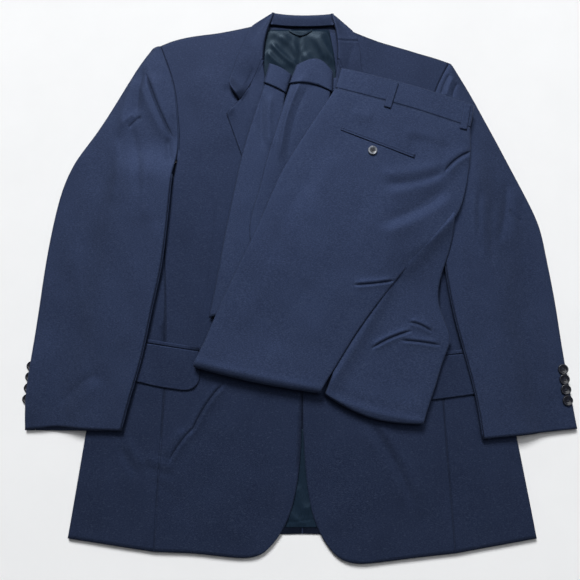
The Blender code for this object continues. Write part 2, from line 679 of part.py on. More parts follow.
def build_pockets():
    """Welts and flaps at the hips."""
    welt("pocket_welt_left", (-276, -105), (-150, -125))
    flap("pocket_flap_left", (-280, -105.7), (-150, -125.7), FLAP_BOTTOM_LEFT)
    welt("pocket_welt_right", (160, -137), (284, -124))
    flap("pocket_flap_right", (160, -137.7), (288, -124.7), FLAP_BOTTOM_RIGHT)


def build_sleeves():
    """Both sleeves and their cuff buttons."""
    top_sleeve("top_sleeve_left", -1, SLEEVE_LEFT, ARMHOLE_LEFT, CAP_OUTER_LEFT,
               CUFF_DRAW_LEFT)
    under_sleeve("under_sleeve_left", -1, SLEEVE_LEFT)
    right = top_sleeve("top_sleeve_right", 1, SLEEVE_RIGHT, ARMHOLE_RIGHT, CAP_OUTER_RIGHT,
                       CUFF_DRAW_RIGHT)
    under_sleeve("under_sleeve_right", 1, SLEEVE_RIGHT)
    for number, centre in enumerate(CUFF_BUTTONS_LEFT, start=1):
        button("cuff_button_left_%d" % number, centre, CUFF_BUTTON, CUFF_BUTTON_HEIGHT, 0.0,
               HORN, face=-1)
    for number, centre in enumerate(CUFF_BUTTONS_RIGHT, start=1):
        seated_button("cuff_button_right_%d" % number, right[:, :-5], centre, CUFF_BUTTON,
                      CUFF_BUTTON_HEIGHT, HORN)


# Trousers: a row for each section across a leg. The rests are the heights of its underside
# at the left and right edges, and bow is how far the section's middle runs ahead of its ends.
LegStation = namedtuple("LegStation", "left_x left_y right_x right_y rest_left rest_right loft bow")
WAISTBAND = [
    LegStation(57, 289, 268, 223, 18.2, 18.2, 6.2, 3),
    LegStation(62, 306, 272.5, 241, 18.2, 18.2, 6.6, 3.5),
    LegStation(67, 323, 276, 259, 18.2, 18.2, 6.4, 4),
]
NEAR_LEG = [
    LegStation(56.8, 288.4, 267.8, 222.4, 18.2, 18.2, 6.0, -3),
    LegStation(43, 266, 268, 190, 18.2, 18.2, 5.8, -2),
    LegStation(20, 231, 263, 156, 18.2, 18.6, 5.8, 0),
    LegStation(0, 198, 256, 121, 18.4, 20.0, 5.8, 0),
    LegStation(-28, 151, 241, 78, 18.8, 21.4, 5.8, 0),
    LegStation(-49, 100, 206, 44, 20.4, 21.0, 5.8, 0),
    LegStation(-70, 50, 179, 20, 20.6, 19.6, 5.8, 0),
    LegStation(-91, 5, 155, -8, 20.0, 18.6, 5.8, 1),
    LegStation(-117, -52, 122, -49, 18.6, 18.2, 6.0, 2),
    LegStation(-135, -97, 88, -94, 18.2, 18.0, 6.0, 2),
    LegStation(-148, -128, 56, -145, 18.0, 18.0, 6.0, 3),
    LegStation(-156, -143, 33, -182, 18.0, 18.0, 6.0, 3),
]
FAR_LEG = [
    LegStation(185, 85, 238, 104, 13.0, 16.4, 4.2, 0),
    LegStation(168, 50, 235, 50, 13.0, 16.6, 4.2, 0),
    LegStation(146, 14, 221, 5, 13.0, 16.2, 4.2, 0),
    LegStation(122, -20, 208, -33, 13.0, 13.4, 4.2, 2),
    LegStation(97, -55, 209, -68, 13.0, 13.4, 4.2, 4),
    LegStation(78, -82, 230, -102, 13.0, 13.8, 4.2, 8),
    LegStation(64, -108, 214, -132, 13.0, 14.2, 4.2, 14),
    LegStation(54, -134, 207, -159, 13.2, 14.4, 4.2, 12),
    LegStation(48, -160, 195, -189, 13.4, 14.4, 4.2, 10),
    LegStation(38, -186, 181, -229, 13.6, 14.4, 4.2, 13),
]
LOWER_LEG_A = [
    LegStation(-136, -75, -105, -68, 8.6, 8.6, 5.0, 0),
    LegStation(-129, -38, -90, -34, 9.6, 9.6, 5.0, 0),
    LegStation(-118, 28, -66, 28, 10.8, 10.6, 4.6, 0),
    LegStation(-108, 88, -62, 86, 10.8, 10.6, 4.6, 0),
    LegStation(-98, 137, -47, 134, 10.8, 10.6, 4.6, 0),
    LegStation(-89, 187, -36, 182, 10.8, 10.6, 4.6, 0),
    LegStation(-72, 245, -24, 240, 10.8, 10.6, 4.6, 0),
    LegStation(-58, 288, -24, 277, 10.8, 10.6, 4.6, 0),
    LegStation(-46, 334, -13, 316, 10.8, 10.6, 4.6, 2),
]
LOWER_LEG_B = [
    LegStation(-70, 20, -50, 18, 16.0, 13.6, 4.0, 0),
    LegStation(-78, 55, -44, 52, 16.0, 13.4, 4.0, 0),
    LegStation(-74, 86, -38, 82, 16.0, 13.0, 4.0, 0),
    LegStation(-62, 119, -27, 115, 16.0, 13.0, 4.0, 0),
    LegStation(-53, 165, -7, 160, 16.0, 13.0, 4.0, 0),
    LegStation(-42, 202, 17, 198, 16.0, 13.0, 4.0, 0),
    LegStation(-34, 230, 34, 226, 15.6, 13.0, 4.0, 0),
    LegStation(-18, 286, 51, 280, 14.0, 13.0, 4.2, 4),
    LegStation(-2, 331, 53, 320, 13.0, 13.0, 4.4, 16),
]
LEG_CURL = 2.3
LEG_TUCK = 9.0
LEG_A_ROWS = 11
LEG_B_ROWS = 10
TROUSER_FOLDS = [
    Fold(106, -31, 165, -28, 8, 1.9),
    Fold(138, -118, 200, -108, 8, 1.6),
    Fold(185, -84, 216, -96, 7, 1.5),
    Fold(180, -104, 226, -116, 7, -1.2),
    Fold(259, 140, 238, 108, 8, -1.7),
    Fold(238, 108, 180, 96, 9, -1.5),
    Fold(82, 268, 118, 250, 10, 1.2),
    Fold(165, 222, 238, 200, 12, 1.2),
    Fold(-60, 40, -120, -110, 14, 1.0),
    Fold(20, 40, -30, -120, 22, 0.9),
    Fold(120, 90, 40, -90, 24, 0.8),
    Fold(9, 308, -2, 264, 7, 1.8),
    Fold(-2, 264, -22, 186, 7, 1.4),
]


def trouser_relief(x, y):
    """The creases of the trousers at any place."""
    return np.clip(folds_height(TROUSER_FOLDS, x, y), -1.7, 2.0)


def leg_sections(stations, rows):
    """The stations read smoothly at more places along the leg."""
    table = np.array(stations, dtype=float)
    left = resample(table[:, 0:2], rows)
    right = resample(table[:, 2:4], rows)
    where = np.linspace(0, 1, len(table))
    rest_left, rest_right, loft, bow = [np.interp(np.linspace(0, 1, rows), where, table[:, k])
                                        for k in range(4, 8)]
    return list(zip(left, right, rest_left, rest_right, loft, bow))


def leg_section(section, ahead, columns):
    """One open ring: tuck, left fold, top, right fold, tuck, as places, rests and heights."""
    left, right, rest_left, rest_right, loft, bow = section
    width = np.linalg.norm(right - left)
    across = (right - left) / width
    ring = [(LEG_TUCK, 0.0), (LEG_CURL, 0.0)]
    ring += [(LEG_CURL * (1 - math.cos(a)), 0.43 * (1 + math.sin(a)))
             for a in np.radians([-50, 0, 50])]
    reaches = list(ring)
    for share in np.linspace(0, 1, columns):
        crown = 0.88 + 0.12 * math.sin(math.pi * share)
        reaches.append((1.3 * LEG_CURL + share * (width - 2.6 * LEG_CURL), crown))
    reaches += [(width - inset, rise) for inset, rise in reversed(ring)]
    places = []
    for reach, rise in reaches:
        share = reach / width
        spot = left + across * reach + ahead * bow * math.sin(math.pi * np.clip(share, 0, 1))
        rest = rest_left * (1 - share) + rest_right * share
        height = loft * rise
        if rise >= 0.88:
            height += float(trouser_relief(*spot)) * math.sin(math.pi * share) ** 0.5
        places.append((*spot, rest, height))
    return np.array(places)


def leg(name, stations, rows, columns, bend=0.0, back_run=()):
    """A flattened leg swept through its sections and, with a bend, folded back under itself."""
    sections = leg_sections(stations, rows)
    first = (sections[0][0] + sections[0][1]) / 2
    last = (sections[-1][0] + sections[-1][1]) / 2
    ahead = (last - first) / np.linalg.norm(last - first)
    rings = [leg_section(section, ahead, columns) for section in sections]
    grid = [np.column_stack([ring[:, 0], ring[:, 1], ring[:, 2] + ring[:, 3]]) for ring in rings]
    if bend:
        end = rings[-1]
        run = sections[-1][1] - sections[-1][0]
        out = np.array([run[1], -run[0]]) / np.linalg.norm(run)
        if float(out @ ahead) < 0:
            out = -out
        axis_z = end[:, 2] - bend
        reach = end[:, 3] + bend
        for angle in np.radians([36, 72, 108, 144, 180]):
            flat = end[:, :2] + out * (reach * math.sin(angle))[:, None]
            grid.append(np.column_stack([flat, axis_z + reach * math.cos(angle)]))
        for back in back_run:
            ring = grid[-1].copy()
            ring[:, :2] = end[:, :2] - ahead * back
            grid.append(ring)
    grid = np.array(grid)
    wall(name, grid[::-1] if ahead[1] < 0 else grid, CLOTH)
    return grid[:len(sections), 5:-5]


def turn_up(name, stations, leg_rows, rows, columns):
    """Hem turned up outside the leg: a band over its top and down round both folds."""
    sections = leg_sections(stations, leg_rows)
    before, hem = sections[-2], sections[-1]
    length = np.linalg.norm(hem[0] - before[0])
    whole = (hem[0] + hem[1] - sections[0][0] - sections[0][1]) / 2
    ahead = whole / np.linalg.norm(whole)
    shares = np.linspace(1 - TURN_UP_DEPTH / length, 1, rows)
    picked = [[a * (1 - t) + b * t for a, b in zip(before, hem)] for t in shares]
    grow = CLOTH + 0.6
    grid = []
    for left, right, rest_left, rest_right, loft, bow in picked:
        width = np.linalg.norm(right - left)
        across = (right - left) / width
        middle = 0.44 * loft
        edge = [(LEG_CURL - (LEG_CURL + grow) * math.cos(a), middle + (middle + grow) * math.sin(a))
                for a in np.radians([-15, 20, 55])]
        reaches = list(edge)
        for share in np.linspace(0, 1, columns):
            crown = loft * (0.9 + 0.12 * math.sin(math.pi * share)) + grow
            reaches.append((1.3 * LEG_CURL + share * (width - 2.6 * LEG_CURL), crown))
        reaches += [(width - inset, rise) for inset, rise in reversed(edge)]
        row = []
        for reach, height in reaches:
            share = np.clip(reach / width, 0, 1)
            spot = left + across * reach + ahead * bow * math.sin(math.pi * share)
            if height > loft:
                height += float(trouser_relief(*spot)) * math.sin(math.pi * share) ** 0.5
            row.append((*spot, rest_left * (1 - share) + rest_right * share + height))
        grid.append(row)
    wall(name, np.array(grid), CLOTH)


def surface_height(grid, x, y):
    """Height of a panel's own outer surface under each place, read from its points."""
    rows, columns = grid.shape[:2]
    v = np.linspace(0, rows - 1.001, 12 * rows)
    u = np.linspace(0, columns - 1.001, 12 * columns)
    r, c = v.astype(int), u.astype(int)
    fv, fu = (v - r)[:, None, None], (u - c)[None, :, None]
    fine = ((1 - fv) * (1 - fu) * grid[r][:, c] + (1 - fv) * fu * grid[r][:, c + 1]
            + fv * (1 - fu) * grid[r + 1][:, c] + fv * fu * grid[r + 1][:, c + 1]).reshape(-1, 3)
    places = np.stack([np.ravel(x), np.ravel(y)], axis=1)
    nearest = [np.argmin(np.sum((fine[:, :2] - place) ** 2, axis=1)) for place in places]
    return fine[nearest, 2].reshape(np.shape(x))


def trimming(name, grid, start, end, width, lift, thickness, steps):
    """A narrow strip laid on a panel, made from the panel's points and moved out."""
    start, end = np.array(start, dtype=float), np.array(end, dtype=float)
    run = (end - start) / np.linalg.norm(end - start)
    side = np.array([run[1], -run[0]]) * width / 2.0
    middle = np.linspace(start, end, steps)
    plan = np.stack([middle - side, middle, middle + side], axis=1)
    height = surface_height(grid, plan[:, :, 0], plan[:, :, 1]) + lift + thickness
    normal_up = np.cross(np.append(2 * side, 0), np.append(run, 0))[2] > 0
    laid = raised(plan, height)
    return wall(name, laid if normal_up else laid[:, ::-1], thickness)


def seated_button(name, grid, centre, diameter, height, colour):
    """A button sewn on a panel: it stands on the highest place under it."""
    turn = np.linspace(0, 2 * math.pi, 12, endpoint=False)
    x = centre.x + 0.45 * diameter * np.cos(turn)
    y = centre.y + 0.45 * diameter * np.sin(turn)
    base = float(np.max(surface_height(grid, x, y))) + 0.35
    button(name, centre, diameter, height, base, colour)


# Layers hidden in the fold. step_up is where they rise to fill the near leg, and step_down
# where they drop again below the far leg.
LayerRow = namedtuple("LayerRow", "left_x left_y up_x up_y down_x down_y right_x right_y")
LAYERS = [
    LayerRow(-97, -62, -88, -62, 50, -94, 200, -116),
    LayerRow(-80, -26, -70, -27, 76, -70, 200, -74),
    LayerRow(-60, 12, -45, 10, 103, -37, 196, -40),
    LayerRow(-57, 50, -37, 48, 129, -5, 200, -6),
    LayerRow(-55, 84, -31, 82, 149, 26, 202, 34),
    LayerRow(-42, 134, -2.5, 128, 165, 56, 202, 64),
    LayerRow(-31, 182, 13, 172, 177, 90, 202, 98),
    LayerRow(-19, 240, 44, 222, 196, 160, 202, 160),
    LayerRow(-17, 278, 65, 262, 259, 196, 263, 196),
    LayerRow(-3, 306, 72, 312, 267, 250, 270, 248),
]
LAYER_COUNT = 3
LAYER_BULGE = 0.9
LAYERS_OVER_FRONT = 8.3
LAYERS_OVER_LAPEL = 10.8
LAYERS_OVER_SLEEVE = 14.2
LAYERS_TOP_LOW = 12.3
LAYERS_TOP_HIGH = 17.3


def trouser_ground(x, y):
    """Underside of the folded layers: on the fronts, over the lapels, over the sleeve head."""
    over_lapels = smooth_step((y + 85.0) / 35.0) * smooth_step((150.0 - x) / 30.0)
    over_sleeve = smooth_step((x - 186.0) / 12.0) * smooth_step((y - 110.0) / 30.0)
    base = LAYERS_OVER_FRONT + (LAYERS_OVER_LAPEL - LAYERS_OVER_FRONT) * over_lapels
    return base + (LAYERS_OVER_SLEEVE - base) * over_sleeve


def hidden_layers(name):
    """One rounded solid for the layers inside the fold, grooved at its edge like a pile."""
    plan, top = [], []
    table = np.array(LAYERS, dtype=float)
    for row in table:
        left, up, down, right = row[0:2], row[2:4], row[4:6], row[6:8]
        up_end = up + 2.0 * (down - up) / np.linalg.norm(down - up)
        down_start = down - 2.0 * (down - up) / np.linalg.norm(down - up)
        places = [left, up]
        places += list(np.linspace(up_end, down_start, 6))
        places += [down, (down + right) / 2, right]
        plan.append(places)
        top.append([LAYERS_TOP_LOW] * 2 + [LAYERS_TOP_HIGH] * 6 + [LAYERS_TOP_LOW] * 3)
    plan = np.array(plan)
    ground = trouser_ground(plan[:, :, 0], plan[:, :, 1])
    top = np.maximum(np.array(top), ground + 1.5)
    return layered_solid(name, plan, top, ground)


def layered_solid(name, plan, top, bottom):
    """A solid between two height grids whose rim swells once for each layer."""
    rows, columns = plan.shape[:2]
    upper, lower = raised(plan, top).reshape(-1, 3), raised(plan, bottom).reshape(-1, 3)
    rim = rim_of(rows, columns)
    edge = plan.reshape(-1, 2)[rim]
    run = np.roll(edge, -1, axis=0) - np.roll(edge, 1, axis=0)
    out = np.stack([run[:, 1], -run[:, 0]], axis=1) / np.linalg.norm(run, axis=1)[:, None]
    vertices = [upper, lower]
    loops = [[k + rows * columns for k in rim]]
    for step in range(1, 2 * LAYER_COUNT):
        share = step / (2 * LAYER_COUNT)
        swell = LAYER_BULGE if step % 2 else 0.0
        height = lower[rim, 2] * (1 - share) + upper[rim, 2] * share
        first = sum(map(len, vertices))
        loops.append(list(range(first, first + len(rim))))
        vertices.append(np.column_stack([edge + out * swell, height]))
    loops.append(rim)
    faces = []
    for r in range(rows - 1):
        for c in range(columns - 1):
            a, b = r * columns + c, r * columns + c + 1
            d, e = a + columns, b + columns
            faces.append((a, b, e, d))
            faces.append(tuple(k + rows * columns for k in (a, d, e, b)))
    for low, high in zip(loops, loops[1:]):
        for k in range(len(rim)):
            after = (k + 1) % len(rim)
            faces.append((low[k], low[after], high[after], high[k]))
    return solid(name, np.concatenate(vertices), faces)


LOOP_SIDE = points((152, 297.5), (138.5, 255))
LOOP_BACK = points((264.5, 260.5), (256, 219))
POCKET_START = Point(66, 221)
POCKET_END = Point(179, 175)
POCKET_WELT = 2.75
POCKET_BUTTON_AT = Point(114, 184)


def build_trousers():
    """Both legs, folded at the knee, with the waistband and what is sewn on."""
    hidden_layers("trouser_folded_layers")
    leg("trouser_lower_leg_a", LOWER_LEG_A, LEG_A_ROWS, 5)
    leg("trouser_lower_leg_b", LOWER_LEG_B, LEG_B_ROWS, 7)
    turn_up("turn_up_a", LOWER_LEG_A, LEG_A_ROWS, 3, 5)
    turn_up("turn_up_b", LOWER_LEG_B, LEG_B_ROWS, 3, 7)
    leg("trouser_far_leg", FAR_LEG, 12, 7, bend=0.4, back_run=(12.0, 24.0))
    near = leg("trouser_near_leg", NEAR_LEG, 18, 10, bend=1.8, back_run=(10.0, 20.0))
    band = leg("waistband", WAISTBAND, 3, 10)
    whole = np.concatenate([band[::-1], near])
    trimming("belt_loop_side", whole, *LOOP_SIDE, BELT_LOOP_WIDTH, LAYER_GAP, 1.2, 7)
    trimming("belt_loop_back", whole, *LOOP_BACK, BELT_LOOP_WIDTH, LAYER_GAP, 1.2, 7)
    start, end = np.array(POCKET_START), np.array(POCKET_END)
    run = (end - start) / np.linalg.norm(end - start)
    slant = np.array([-run[1], run[0]]) * (POCKET_WELT / 2 + SEAM_GAP / 2)
    trimming("back_pocket_welt_upper", near, start + slant, end + slant, POCKET_WELT, 0.4, 1.0, 10)
    trimming("back_pocket_welt_lower", near, start - slant, end - slant, POCKET_WELT, 0.4, 1.0, 10)
    seated_button("back_pocket_button", near, POCKET_BUTTON_AT, POCKET_BUTTON, 2.6, PEARL)


def build():
    """The whole suit, in the order in which its pieces are sewn on."""
    for thing in list(bpy.data.objects):
        bpy.data.objects.remove(thing, do_unlink=True)
    build_body()
    build_collar()
    build_sleeves()
    build_pockets()
    build_trousers()


build()
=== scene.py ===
"""A navy two-piece suit laid flat on a pale surface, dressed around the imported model.

The jacket lies face up with its sleeves at its sides. The trousers are folded once across
the knees and lie on the jacket, seat side up.
"""

import math
from collections import namedtuple

import bpy
import numpy as np
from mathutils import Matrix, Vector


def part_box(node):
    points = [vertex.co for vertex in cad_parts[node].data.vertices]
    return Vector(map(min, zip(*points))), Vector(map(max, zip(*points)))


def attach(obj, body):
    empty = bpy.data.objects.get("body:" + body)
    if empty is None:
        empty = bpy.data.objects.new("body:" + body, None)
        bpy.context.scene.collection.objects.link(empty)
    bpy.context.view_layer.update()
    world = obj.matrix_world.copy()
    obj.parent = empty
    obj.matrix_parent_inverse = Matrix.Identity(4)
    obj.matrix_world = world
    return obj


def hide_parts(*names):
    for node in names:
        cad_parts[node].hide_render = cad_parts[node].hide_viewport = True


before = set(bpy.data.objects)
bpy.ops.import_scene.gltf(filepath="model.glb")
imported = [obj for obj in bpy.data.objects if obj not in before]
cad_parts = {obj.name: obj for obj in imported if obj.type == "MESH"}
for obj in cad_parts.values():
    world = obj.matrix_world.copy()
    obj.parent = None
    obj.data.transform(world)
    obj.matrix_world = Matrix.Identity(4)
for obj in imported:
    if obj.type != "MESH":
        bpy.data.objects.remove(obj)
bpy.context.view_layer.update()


# Jacket back, side panels and fronts
# Panels of the suiting, seamed at the centre back, behind the underarm and down the front of the
# side. The back lies flat on the floor and the fronts lie on it with their curved hems open.

MM = 0.001
# A fine navy wool woven with uneven yarns, so that short light and dark dashes show across it.
CLOTH_NAVY = (0.0117, 0.0169, 0.0350)
CLOTH_DEEP = (0.0068, 0.0095, 0.0190)
CLOTH_FLECK = (0.0260, 0.0350, 0.0600)
CLOTH_GLEAM = (0.28, 0.43, 1.0, 1.0)
CLOTH_SHEEN = (0.55, 0.66, 1.0, 1.0)
PATCH_DARK = 0.91
PATCH_LIGHT = 1.08
# How many of each feature lie in a metre of the cloth.
PATCHES = 22.0
YARNS = 520.0
FLECKS = 230.0
THREADS = 900.0


def new_material(name):
    """An empty material and its node tree, with a surface shader on its output."""
    finish = bpy.data.materials.new(name)
    finish.use_nodes = True
    return finish, finish.node_tree.nodes, finish.node_tree.links


def noise(nodes, links, spot, scale, detail, roughness, stretch=(1, 1, 1), turn=0.0):
    """Noise of so many features a metre, stretched along the piece's own grain."""
    mapping = nodes.new("ShaderNodeMapping")
    mapping.inputs["Rotation"].default_value = (0.0, 0.0, turn)
    mapping.inputs["Scale"].default_value = stretch
    links.new(spot, mapping.inputs["Vector"])
    texture = nodes.new("ShaderNodeTexNoise")
    texture.inputs["Scale"].default_value = scale
    texture.inputs["Detail"].default_value = detail
    texture.inputs["Roughness"].default_value = roughness
    links.new(mapping.outputs["Vector"], texture.inputs["Vector"])
    return texture.outputs["Fac"]


def ramp(nodes, links, value, *stops):
    """Colour or grey read off a value between named stops."""
    chart = nodes.new("ShaderNodeValToRGB")
    chart.color_ramp.elements[0].position = stops[0][0]
    chart.color_ramp.elements[0].color = (*stops[0][1], 1.0)
    chart.color_ramp.elements[1].position = stops[-1][0]
    chart.color_ramp.elements[1].color = (*stops[-1][1], 1.0)
    for position, colour in stops[1:-1]:
        chart.color_ramp.elements.new(position).color = (*colour, 1.0)
    links.new(value, chart.inputs["Fac"])
    return chart.outputs["Color"]


def mix(nodes, links, kind, share, first, second):
    """Two colours mixed; the share may be a number or another node's value."""
    blend = nodes.new("ShaderNodeMix")
    blend.data_type = "RGBA"
    blend.blend_type = kind
    if isinstance(share, float):
        blend.inputs["Factor"].default_value = share
    else:
        links.new(share, blend.inputs["Factor"])
    links.new(first, blend.inputs["A"])
    links.new(second, blend.inputs["B"])
    return blend.outputs["Result"]


def suit_cloth(name, grain, painted_brightness):
    """Navy suiting whose weft dashes run across the piece at the grain angle, its colour scaled as
    painted light.
    """
    finish, nodes, links = new_material(name)
    shader = nodes["Principled BSDF"]
    spot = nodes.new("ShaderNodeTexCoord").outputs["Object"]
    body = noise(nodes, links, spot, PATCHES, 2.0, 0.5, turn=grain)
    yarn = noise(nodes, links, spot, YARNS, 3.0, 0.70, (0.8, 2.0, 1), grain)
    fleck = noise(nodes, links, spot, FLECKS, 1.0, 0.5, (1.0, 3.0, 1), grain)
    colour = ramp(nodes, links, yarn, (0.30, CLOTH_DEEP), (0.50, CLOTH_NAVY), (0.72, CLOTH_FLECK))
    # Random patches of tone, all scaled by this copy's painted brightness, which stands in for
    # light.
    shade = ramp(nodes, links, body, (0.30, (PATCH_DARK * painted_brightness,) * 3),
                 (0.70, (PATCH_LIGHT * painted_brightness,) * 3))
    colour = mix(nodes, links, "MULTIPLY", 1.0, colour, shade)
    spots = ramp(nodes, links, fleck, (0.62, (0, 0, 0)), (0.74, (0.8, 0.8, 0.8)))
    light = nodes.new("ShaderNodeRGB")
    light.outputs["Color"].default_value = (*CLOTH_FLECK, 1.0)
    colour = mix(nodes, links, "MIX", spots, colour, light.outputs["Color"])
    links.new(colour, shader.inputs["Base Color"])
    warp = noise(nodes, links, spot, THREADS, 1.0, 0.5, (2.2, 0.5, 1), grain)
    weft = noise(nodes, links, spot, THREADS, 1.0, 0.5, (0.5, 2.2, 1), grain)
    weave = nodes.new("ShaderNodeMath")
    weave.operation = "ADD"
    links.new(warp, weave.inputs[0])
    links.new(weft, weave.inputs[1])
    bump = nodes.new("ShaderNodeBump")
    bump.inputs["Strength"].default_value = 0.20
    bump.inputs["Distance"].default_value = 0.0005
    links.new(weave.outputs["Value"], bump.inputs["Height"])
    links.new(bump.outputs["Normal"], shader.inputs["Normal"])
    shader.inputs["Roughness"].default_value = 0.58
    shader.inputs["Specular IOR Level"].default_value = 0.34
    shader.inputs["Specular Tint"].default_value = CLOTH_GLEAM
    shader.inputs["Sheen Weight"].default_value = 0.03
    shader.inputs["Sheen Roughness"].default_value = 0.45
    shader.inputs["Sheen Tint"].default_value = CLOTH_SHEEN
    return finish


# Jacket, sleeves and trousers share one suiting; each copy is painted lighter or darker to stand in
# for how light falls on it.
JACKET_CLOTH = suit_cloth("suit_cloth_jacket", grain=0.0, painted_brightness=0.96)
# A crease runs between two points and bows to one side, all in millimetres.
Crease = namedtuple("Crease", "x0 y0 x1 y1 bow width height")
WELD = 0.02 * MM
RIM_ANGLE = math.radians(52)
FACING_UP = 0.35
FACING_FLOOR = -0.99
# A crease fades out over this share of its length at each end, from a small start.
FADE_SHARE = 0.22
FADE_START = 0.12
CREASE_POWER = 1.5
# A pinch: its groove's width in millimetres, and its lips as shares of its depth.
GROOVE_WIDTH = 1.5
UPPER_LIP = 0.3
LOWER_LIP = 0.5
# Creases narrower than this, in millimetres, get finer faces along a band round them.
SHARP_WIDTH = 3.5
SHARP_MARGIN = 3.0
SHARP_LEAST = 0.04
SHARP_HALVINGS = 2
UNEVEN_HEIGHT = 0.16
# The pressed edges below a seam, in millimetres.
SEAM_REACH = 1.6
SEAM_STEP = 4.0
SEAM_END = 0.4
SEAM_ROWS = 60
SEAM_HALF = 4.0
SEAM_DROP = 0.30
SEAM_NARROW = 1.0
SEAM_FLUSH = 0.05
SEAM_THICK = 0.5


def edit(piece, kind="VERT"):
    """The piece alone selected, in edit mode, with nothing in it selected."""
    bpy.ops.object.select_all(action="DESELECT")
    piece.select_set(True)
    bpy.context.view_layer.objects.active = piece
    bpy.ops.object.mode_set(mode="EDIT")
    bpy.ops.mesh.select_mode(type=kind)
    bpy.ops.mesh.select_all(action="DESELECT")


def leave():
    """Back to object mode."""
    bpy.ops.object.mode_set(mode="OBJECT")


def cloth_from(node, name, levels=2):
    """A finer shell on a panel's solid: its quads made whole again, its rims kept crisp."""
    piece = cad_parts[node].copy()
    piece.data = piece.data.copy()
    piece.name = name
    piece.data.name = name
    piece.hide_render = False
    bpy.context.scene.collection.objects.link(piece)
    edit(piece, "EDGE")
    bpy.ops.mesh.select_all(action="SELECT")
    bpy.ops.mesh.remove_doubles(threshold=WELD)
    bpy.ops.mesh.tris_convert_to_quads(face_threshold=math.radians(35),
                                       shape_threshold=math.radians(60))
    bpy.ops.mesh.mark_sharp(clear=True)
    bpy.ops.mesh.select_all(action="DESELECT")
    bpy.ops.mesh.edges_select_sharp(sharpness=RIM_ANGLE)
    bpy.ops.transform.edge_crease(value=1.0)
    leave()
    smooth = piece.modifiers.new("smooth", "SUBSURF")
    smooth.levels = levels
    smooth.render_levels = levels
    bpy.ops.object.modifier_apply(modifier="smooth")
    bpy.ops.object.shade_smooth()
    return piece


def coordinates(piece):
    """The piece's points and their normals, in millimetres and as unit vectors."""
    count = len(piece.data.vertices)
    points = np.empty(count * 3)
    normals = np.empty(count * 3)
    piece.data.vertices.foreach_get("co", points)
    piece.data.vertex_normals.foreach_get("vector", normals)
    return points.reshape(-1, 3) / MM, normals.reshape(-1, 3)


def place(piece, points):
    """Puts the moved points back."""
    piece.data.vertices.foreach_set("co", (points * MM).ravel())
    piece.data.update()


def finer_top(piece):
    """Halves the faces that look up, where folds and creases show."""
    edit(piece, "FACE")
    leave()
    for face in piece.data.polygons:
        face.select = face.normal.z > FACING_UP
    bpy.ops.object.mode_set(mode="EDIT")
    bpy.ops.mesh.subdivide(number_cuts=1, smoothness=0.0)
    leave()


def crease_height(creases, x, y):
    """Rise or fall of the cloth: each crease is a soft bar along its own bowed line."""
    total = np.zeros(len(x))
    for crease in creases:
        run = np.array([crease.x1 - crease.x0, crease.y1 - crease.y0])
        length = np.linalg.norm(run)
        along = ((x - crease.x0) * run[0] + (y - crease.y0) * run[1]) / length**2
        across = ((x - crease.x0) * run[1] - (y - crease.y0) * run[0]) / length
        across = across - crease.bow * 4.0 * along * (1.0 - along)
        ends = np.clip(np.minimum(along, 1.0 - along) / FADE_SHARE + FADE_START, 0.0, 1.0)
        ends = ends * ends * (3.0 - 2.0 * ends)
        total += crease.height * ends * np.exp(-np.abs(across / crease.width) ** CREASE_POWER)
    return total


def pinch(x0, y0, x1, y1, bow, depth, reach=4.0):
    """A sharp crease: a narrow groove with a soft lip along each side of it."""
    run = np.array([x1 - x0, y1 - y0])
    side = np.array([run[1], -run[0]]) / np.linalg.norm(run) * reach
    upper = Crease(x0 + side[0], y0 + side[1], x1 + side[0], y1 + side[1], bow, reach,
                   UPPER_LIP * depth)
    lower = Crease(x0 - side[0], y0 - side[1], x1 - side[0], y1 - side[1], bow, reach,
                   LOWER_LIP * depth)
    return [Crease(x0, y0, x1, y1, bow, GROOVE_WIDTH, -depth), upper, lower]


def finer_near(piece, creases):
    """Halves the upper faces along the sharp creases alone."""
    for _ in range(SHARP_HALVINGS):
        edit(piece, "FACE")
        leave()
        count = len(piece.data.polygons)
        centres = np.empty(count * 3)
        piece.data.polygons.foreach_get("center", centres)
        x, y = centres.reshape(-1, 3)[:, 0] / MM, centres.reshape(-1, 3)[:, 1] / MM
        near = np.zeros(count)
        for crease in creases:
            if crease.width < SHARP_WIDTH:
                band = crease._replace(width=crease.width + SHARP_MARGIN, height=1.0)
                near = np.maximum(near, crease_height([band], x, y))
        for face, value in zip(piece.data.polygons, near):
            face.select = bool(value > SHARP_LEAST and face.normal.z > FACING_UP)
        bpy.ops.object.mode_set(mode="EDIT")
        bpy.ops.mesh.subdivide(number_cuts=1, smoothness=0.0)
        leave()


def unevenness(x, y):
    """The slight waviness of pressed cloth: three crossing waves, their lengths in millimetres."""
    wave = np.sin(x / 23.0 + 1.3 * np.sin(y / 61.0)) * np.sin(y / 37.0 + 0.8 * np.sin(x / 43.0))
    wave += 0.6 * np.sin(x / 11.0 + y / 29.0 + 1.7 * np.sin(y / 83.0))
    return UNEVEN_HEIGHT * wave


def lay_creases(piece, creases, uneven=1.0):
    """Moves the outer side of a cloth piece by its creases and its slight waviness."""
    points, normals = coordinates(piece)
    faces_up = np.clip((normals[:, 2] - 0.25) / 0.5, 0.0, 1.0)
    x, y = points[:, 0], points[:, 1]
    rise = crease_height(creases, x, y) + uneven * unevenness(x, y)
    points[:, 2] += rise * faces_up
    place(piece, points)


def node_points(node):
    """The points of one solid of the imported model, in millimetres."""
    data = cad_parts[node].data
    points = np.empty(len(data.vertices) * 3)
    data.vertices.foreach_get("co", points)
    return points.reshape(-1, 3) / MM


